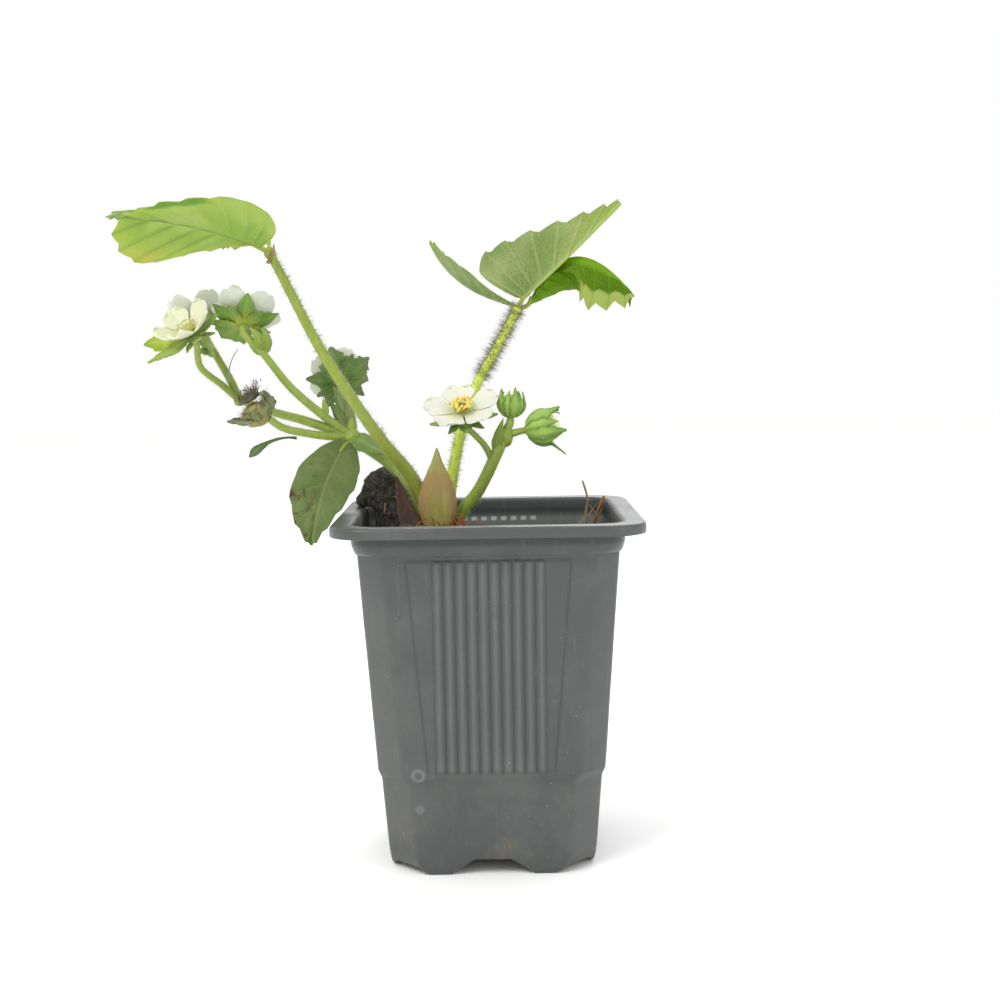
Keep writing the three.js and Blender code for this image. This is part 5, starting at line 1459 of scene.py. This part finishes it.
# Sepals hug the bud over its widest part, and open above; one of the side bud's grows like a leaf
def budSepalRows(shape, k, high, reach, leafySepal):
    outer = k % 2 == 0
    width = shape["width"]
    u, share = np.meshgrid(np.linspace(0, 1, 15), np.linspace(-1, 1, 9), indexing="ij")
    z = 0.05 + (high - 0.05) * u
    above = np.clip((z - hugUntil) / (high - hugUntil), 0, 1)
    hug = budRadius(shape, np.minimum(z, hugUntil)) * 0.97 + (0.3 if outer else 0.05)
    r = hug + (reach - hug) * above ** 1.15
    half = width * (0.2 if outer else 0.13) * np.sin(pi * np.minimum(1, u * 0.9 + 0.06) ** 0.85) ** 0.8
    half = half * (1 - 0.35 * above) * (1 + 0.16 * np.sin(u * 21 + 2.3 * k))
    half = np.maximum(half + (7 * u * u * (1 - u) if leafySepal else 0), 0.08)
    bend = half * share / np.maximum(r, 1.2)
    x = r * np.cos(bend) + 0.28 * bump(share, 0.25) * np.sin(pi * u)
    rows = turned(np.stack([x, r * np.sin(bend), z * shape["length"]], -1), 36 * k)
    return rows, {"along": u, "vein": bump(share, 0.15), "edge": np.abs(share)}


def makeBud(name, node, shape):
    place = frameOf(shape)
    level, angle = np.meshgrid(np.linspace(0, 0.88, 16), np.linspace(0, 2 * pi, 60, endpoint=False), indexing="ij")
    radius = budRadius(shape, level) * (0.925 + 0.045 * np.cos(10 * angle))
    rows = np.stack([radius * np.cos(angle), radius * np.sin(angle), level * shape["length"]], -1)
    body = tubePiece(name + "Body", place(rows), {"along": level, "vein": np.zeros_like(level)})
    pieces = [coated(body, budSkin)]
    for k in range(10):
        outer = k % 2 == 0
        leafySepal = k == 0 and node == "side_bud"
        high = (1 if outer else 0.9) * chance.uniform(0.88, 1.04)
        reach = shape["width"] * 0.36 * (1 + shape["open"] + chance.uniform(-0.25, 0.2) if outer else 0.8)
        rows, marks = budSepalRows(shape, k, high, reach * (1.7 if leafySepal else 1), leafySepal)
        pieces.append(bladePiece(f"{name}Sepal{k}", place(rows), 0.38, marks, (budSepal, calyxSkin), flipped=False))
    grownTogether(name, node, pieces, 65)
    hairs = []
    for _ in range(420):
        a, z = chance.uniform(0, 2 * pi), chance.uniform(0.03, 0.7)
        r, high = float(budRadius(shape, z)) * 0.97, z * shape["length"]
        hairs.append((*fromTo(place, polar(a, r, high), polar(a, r * 1.5, high + 1.4)), chance.uniform(0.5, 1.1)))
    hairPiece(name + "Hairs", hairs, 0.03, hairGrey)


makeBud("uprightBud", "upright_bud", buds["upright"])
makeBud("sideBud", "side_bud", buds["side"])


def fadedCalyx(place):
    foot = lumpPiece("fadedFoot", (0, 0, 3.4), (4.6, 4.4, 3.6), 0.12, 4)
    pieces = [coated(moved(foot, place), fadedFoot)]
    for k in range(14):
        angle = 180 / 7 * k + chance.uniform(-8, 8)
        toLeft = (1 - math.cos(math.radians(angle))) / 2
        out = 4.8 + 4.6 * toLeft + chance.uniform(-0.8, 0.9)
        high = 9.2 - 4.2 * toLeft + chance.uniform(-1.2, 0.8)
        base = (3.4, chance.uniform(-0.6, 0.6), 1.6)
        bow = (5.8, chance.uniform(-1, 1), 2.6 + chance.uniform(0, 2.4))
        tip = (out, chance.uniform(-1.6, 1.6), high)
        strap = (base, bow, tip, chance.uniform(0.9, 1.7), (chance.uniform(-0.3, 0.3), chance.uniform(-0.4, 0.4), 1))
        pieces.append(strapPiece(f"fadedSepal{k}", strap, (fadedSkin, fadedSkin), 0.36,
                                 lambda rows: place(turned(rows, angle)), ragged=0.45, fold=0.3, steps=20, curl=0.7))
    grownTogether("fadedCalyx", "spent_flower_calyx", pieces, 60)


def fadedStamens(place):
    head = lumpPiece("fadedHead", (0, 0, 8.8), (3.4, 3.2, 1.2), 0.3, 4)
    legs, tops = [], []
    for k in range(130):
        a, r = k * 2.4, 3.2 * math.sqrt((k + 0.5) / 130)
        low = polar(a, r, 8.7 + 0.9 * math.sqrt(max(0, 1 - (r / 3.4) ** 2)))
        tall = chance.uniform(0.8, 2.2) + 1.3 * max(0, math.cos(a - 0.4))
        high = low + polar(a, 0.4 * r, tall) + [chance.uniform(-0.4, 1.8), chance.uniform(-0.6, 0.6), 0]
        root, way = fromTo(place, low - [0, 0, 0.3], high)
        legs.append((root, way, np.linalg.norm(way)))
        if k % 5 == 0:
            tops.append((place(high), way, (0.16, 0.22, 0.4)))
    grownTogether("fadedStamens", "spent_flower_stamens", [
        coated(moved(head, place), dryStamen),
        hairPiece("fadedLegs", legs, 0.13, dryStamen, bend=0.3),
        lumps("fadedAnthers", antherForm, tops, dryStamen)], 50)


# Grey hairs that point down a little, and dry bristles that point up; the last ones stand on the right side
def fadedHairs(place):
    hairs = []
    for k in range(520):
        a, z = chance.uniform(0, 2 * pi), chance.uniform(0.2, 6.8)
        r = 4.6 * math.sqrt(max(0.02, 1 - ((z - 3.4) / 3.6) ** 2))
        hairs.append((*fromTo(place, polar(a, r, z), polar(a, 1.4 * r, z + (1.6 if k % 2 else -0.4))),
                      chance.uniform(0.7, 2.4 if k % 2 else 1.2)))
    for _ in range(120):
        a, z = chance.uniform(-0.9, 0.9), chance.uniform(4, 7.6)
        hairs.append((*fromTo(place, polar(a, 4.2, z), (5.4, 4.6 * math.sin(a), z + chance.uniform(1, 3))),
                      chance.uniform(1.4, 3.4)))
    hairPiece("fadedHairs", hairs[::2], 0.035, hairGrey)
    hairPiece("fadedBristles", hairs[1::2], 0.06, dryStamen, bend=0.4)


spentPlace = frameOf(spent)
fadedCalyx(spentPlace)
fadedStamens(spentPlace)
fadedHairs(spentPlace)


print("straws")
straws = {
    "dry_stalk": ("strawStalk", [(30.8, 20.4, 84), (30.4, 20, 97), (31, 20, 103.4), (29.6, 20.4, 108.8)],
                  (0.56, 0.3), straw),
    "dry_stick": ("strawStick", [(31.6, 23.6, 84), (33.6, 22.6, 96.4), (36.4, 21, 103.8)], (0.62, 0.44), brightStraw),
}
for node, (name, route, radii, finish) in straws.items():
    surface = stalkSurface(route, radii, lambda t: 1 + 0.1 * math.sin(t * 23) + 0.12 * math.sin(t * 7), 10, 0.6)
    grownTogether(name, node, [coated(stalkPiece(name, surface), finish)], 50)
threadPiece("crossingStraws", [
    ([(30.2, 18.6, 96.0), (32.2, 18.3, 99.4), (33.8, 18.0, 101.6)], (0.28, 0.18)),
    ([(35.2, 18.4, 95.6), (33.4, 18.5, 98.8), (31.4, 18.6, 101.4)], (0.25, 0.15)),
    ([(33.4, 19.4, 92.0), (34.2, 18.6, 97.2), (35.6, 18.0, 100.4)], (0.3, 0.16)),
], straw)


print("finished")
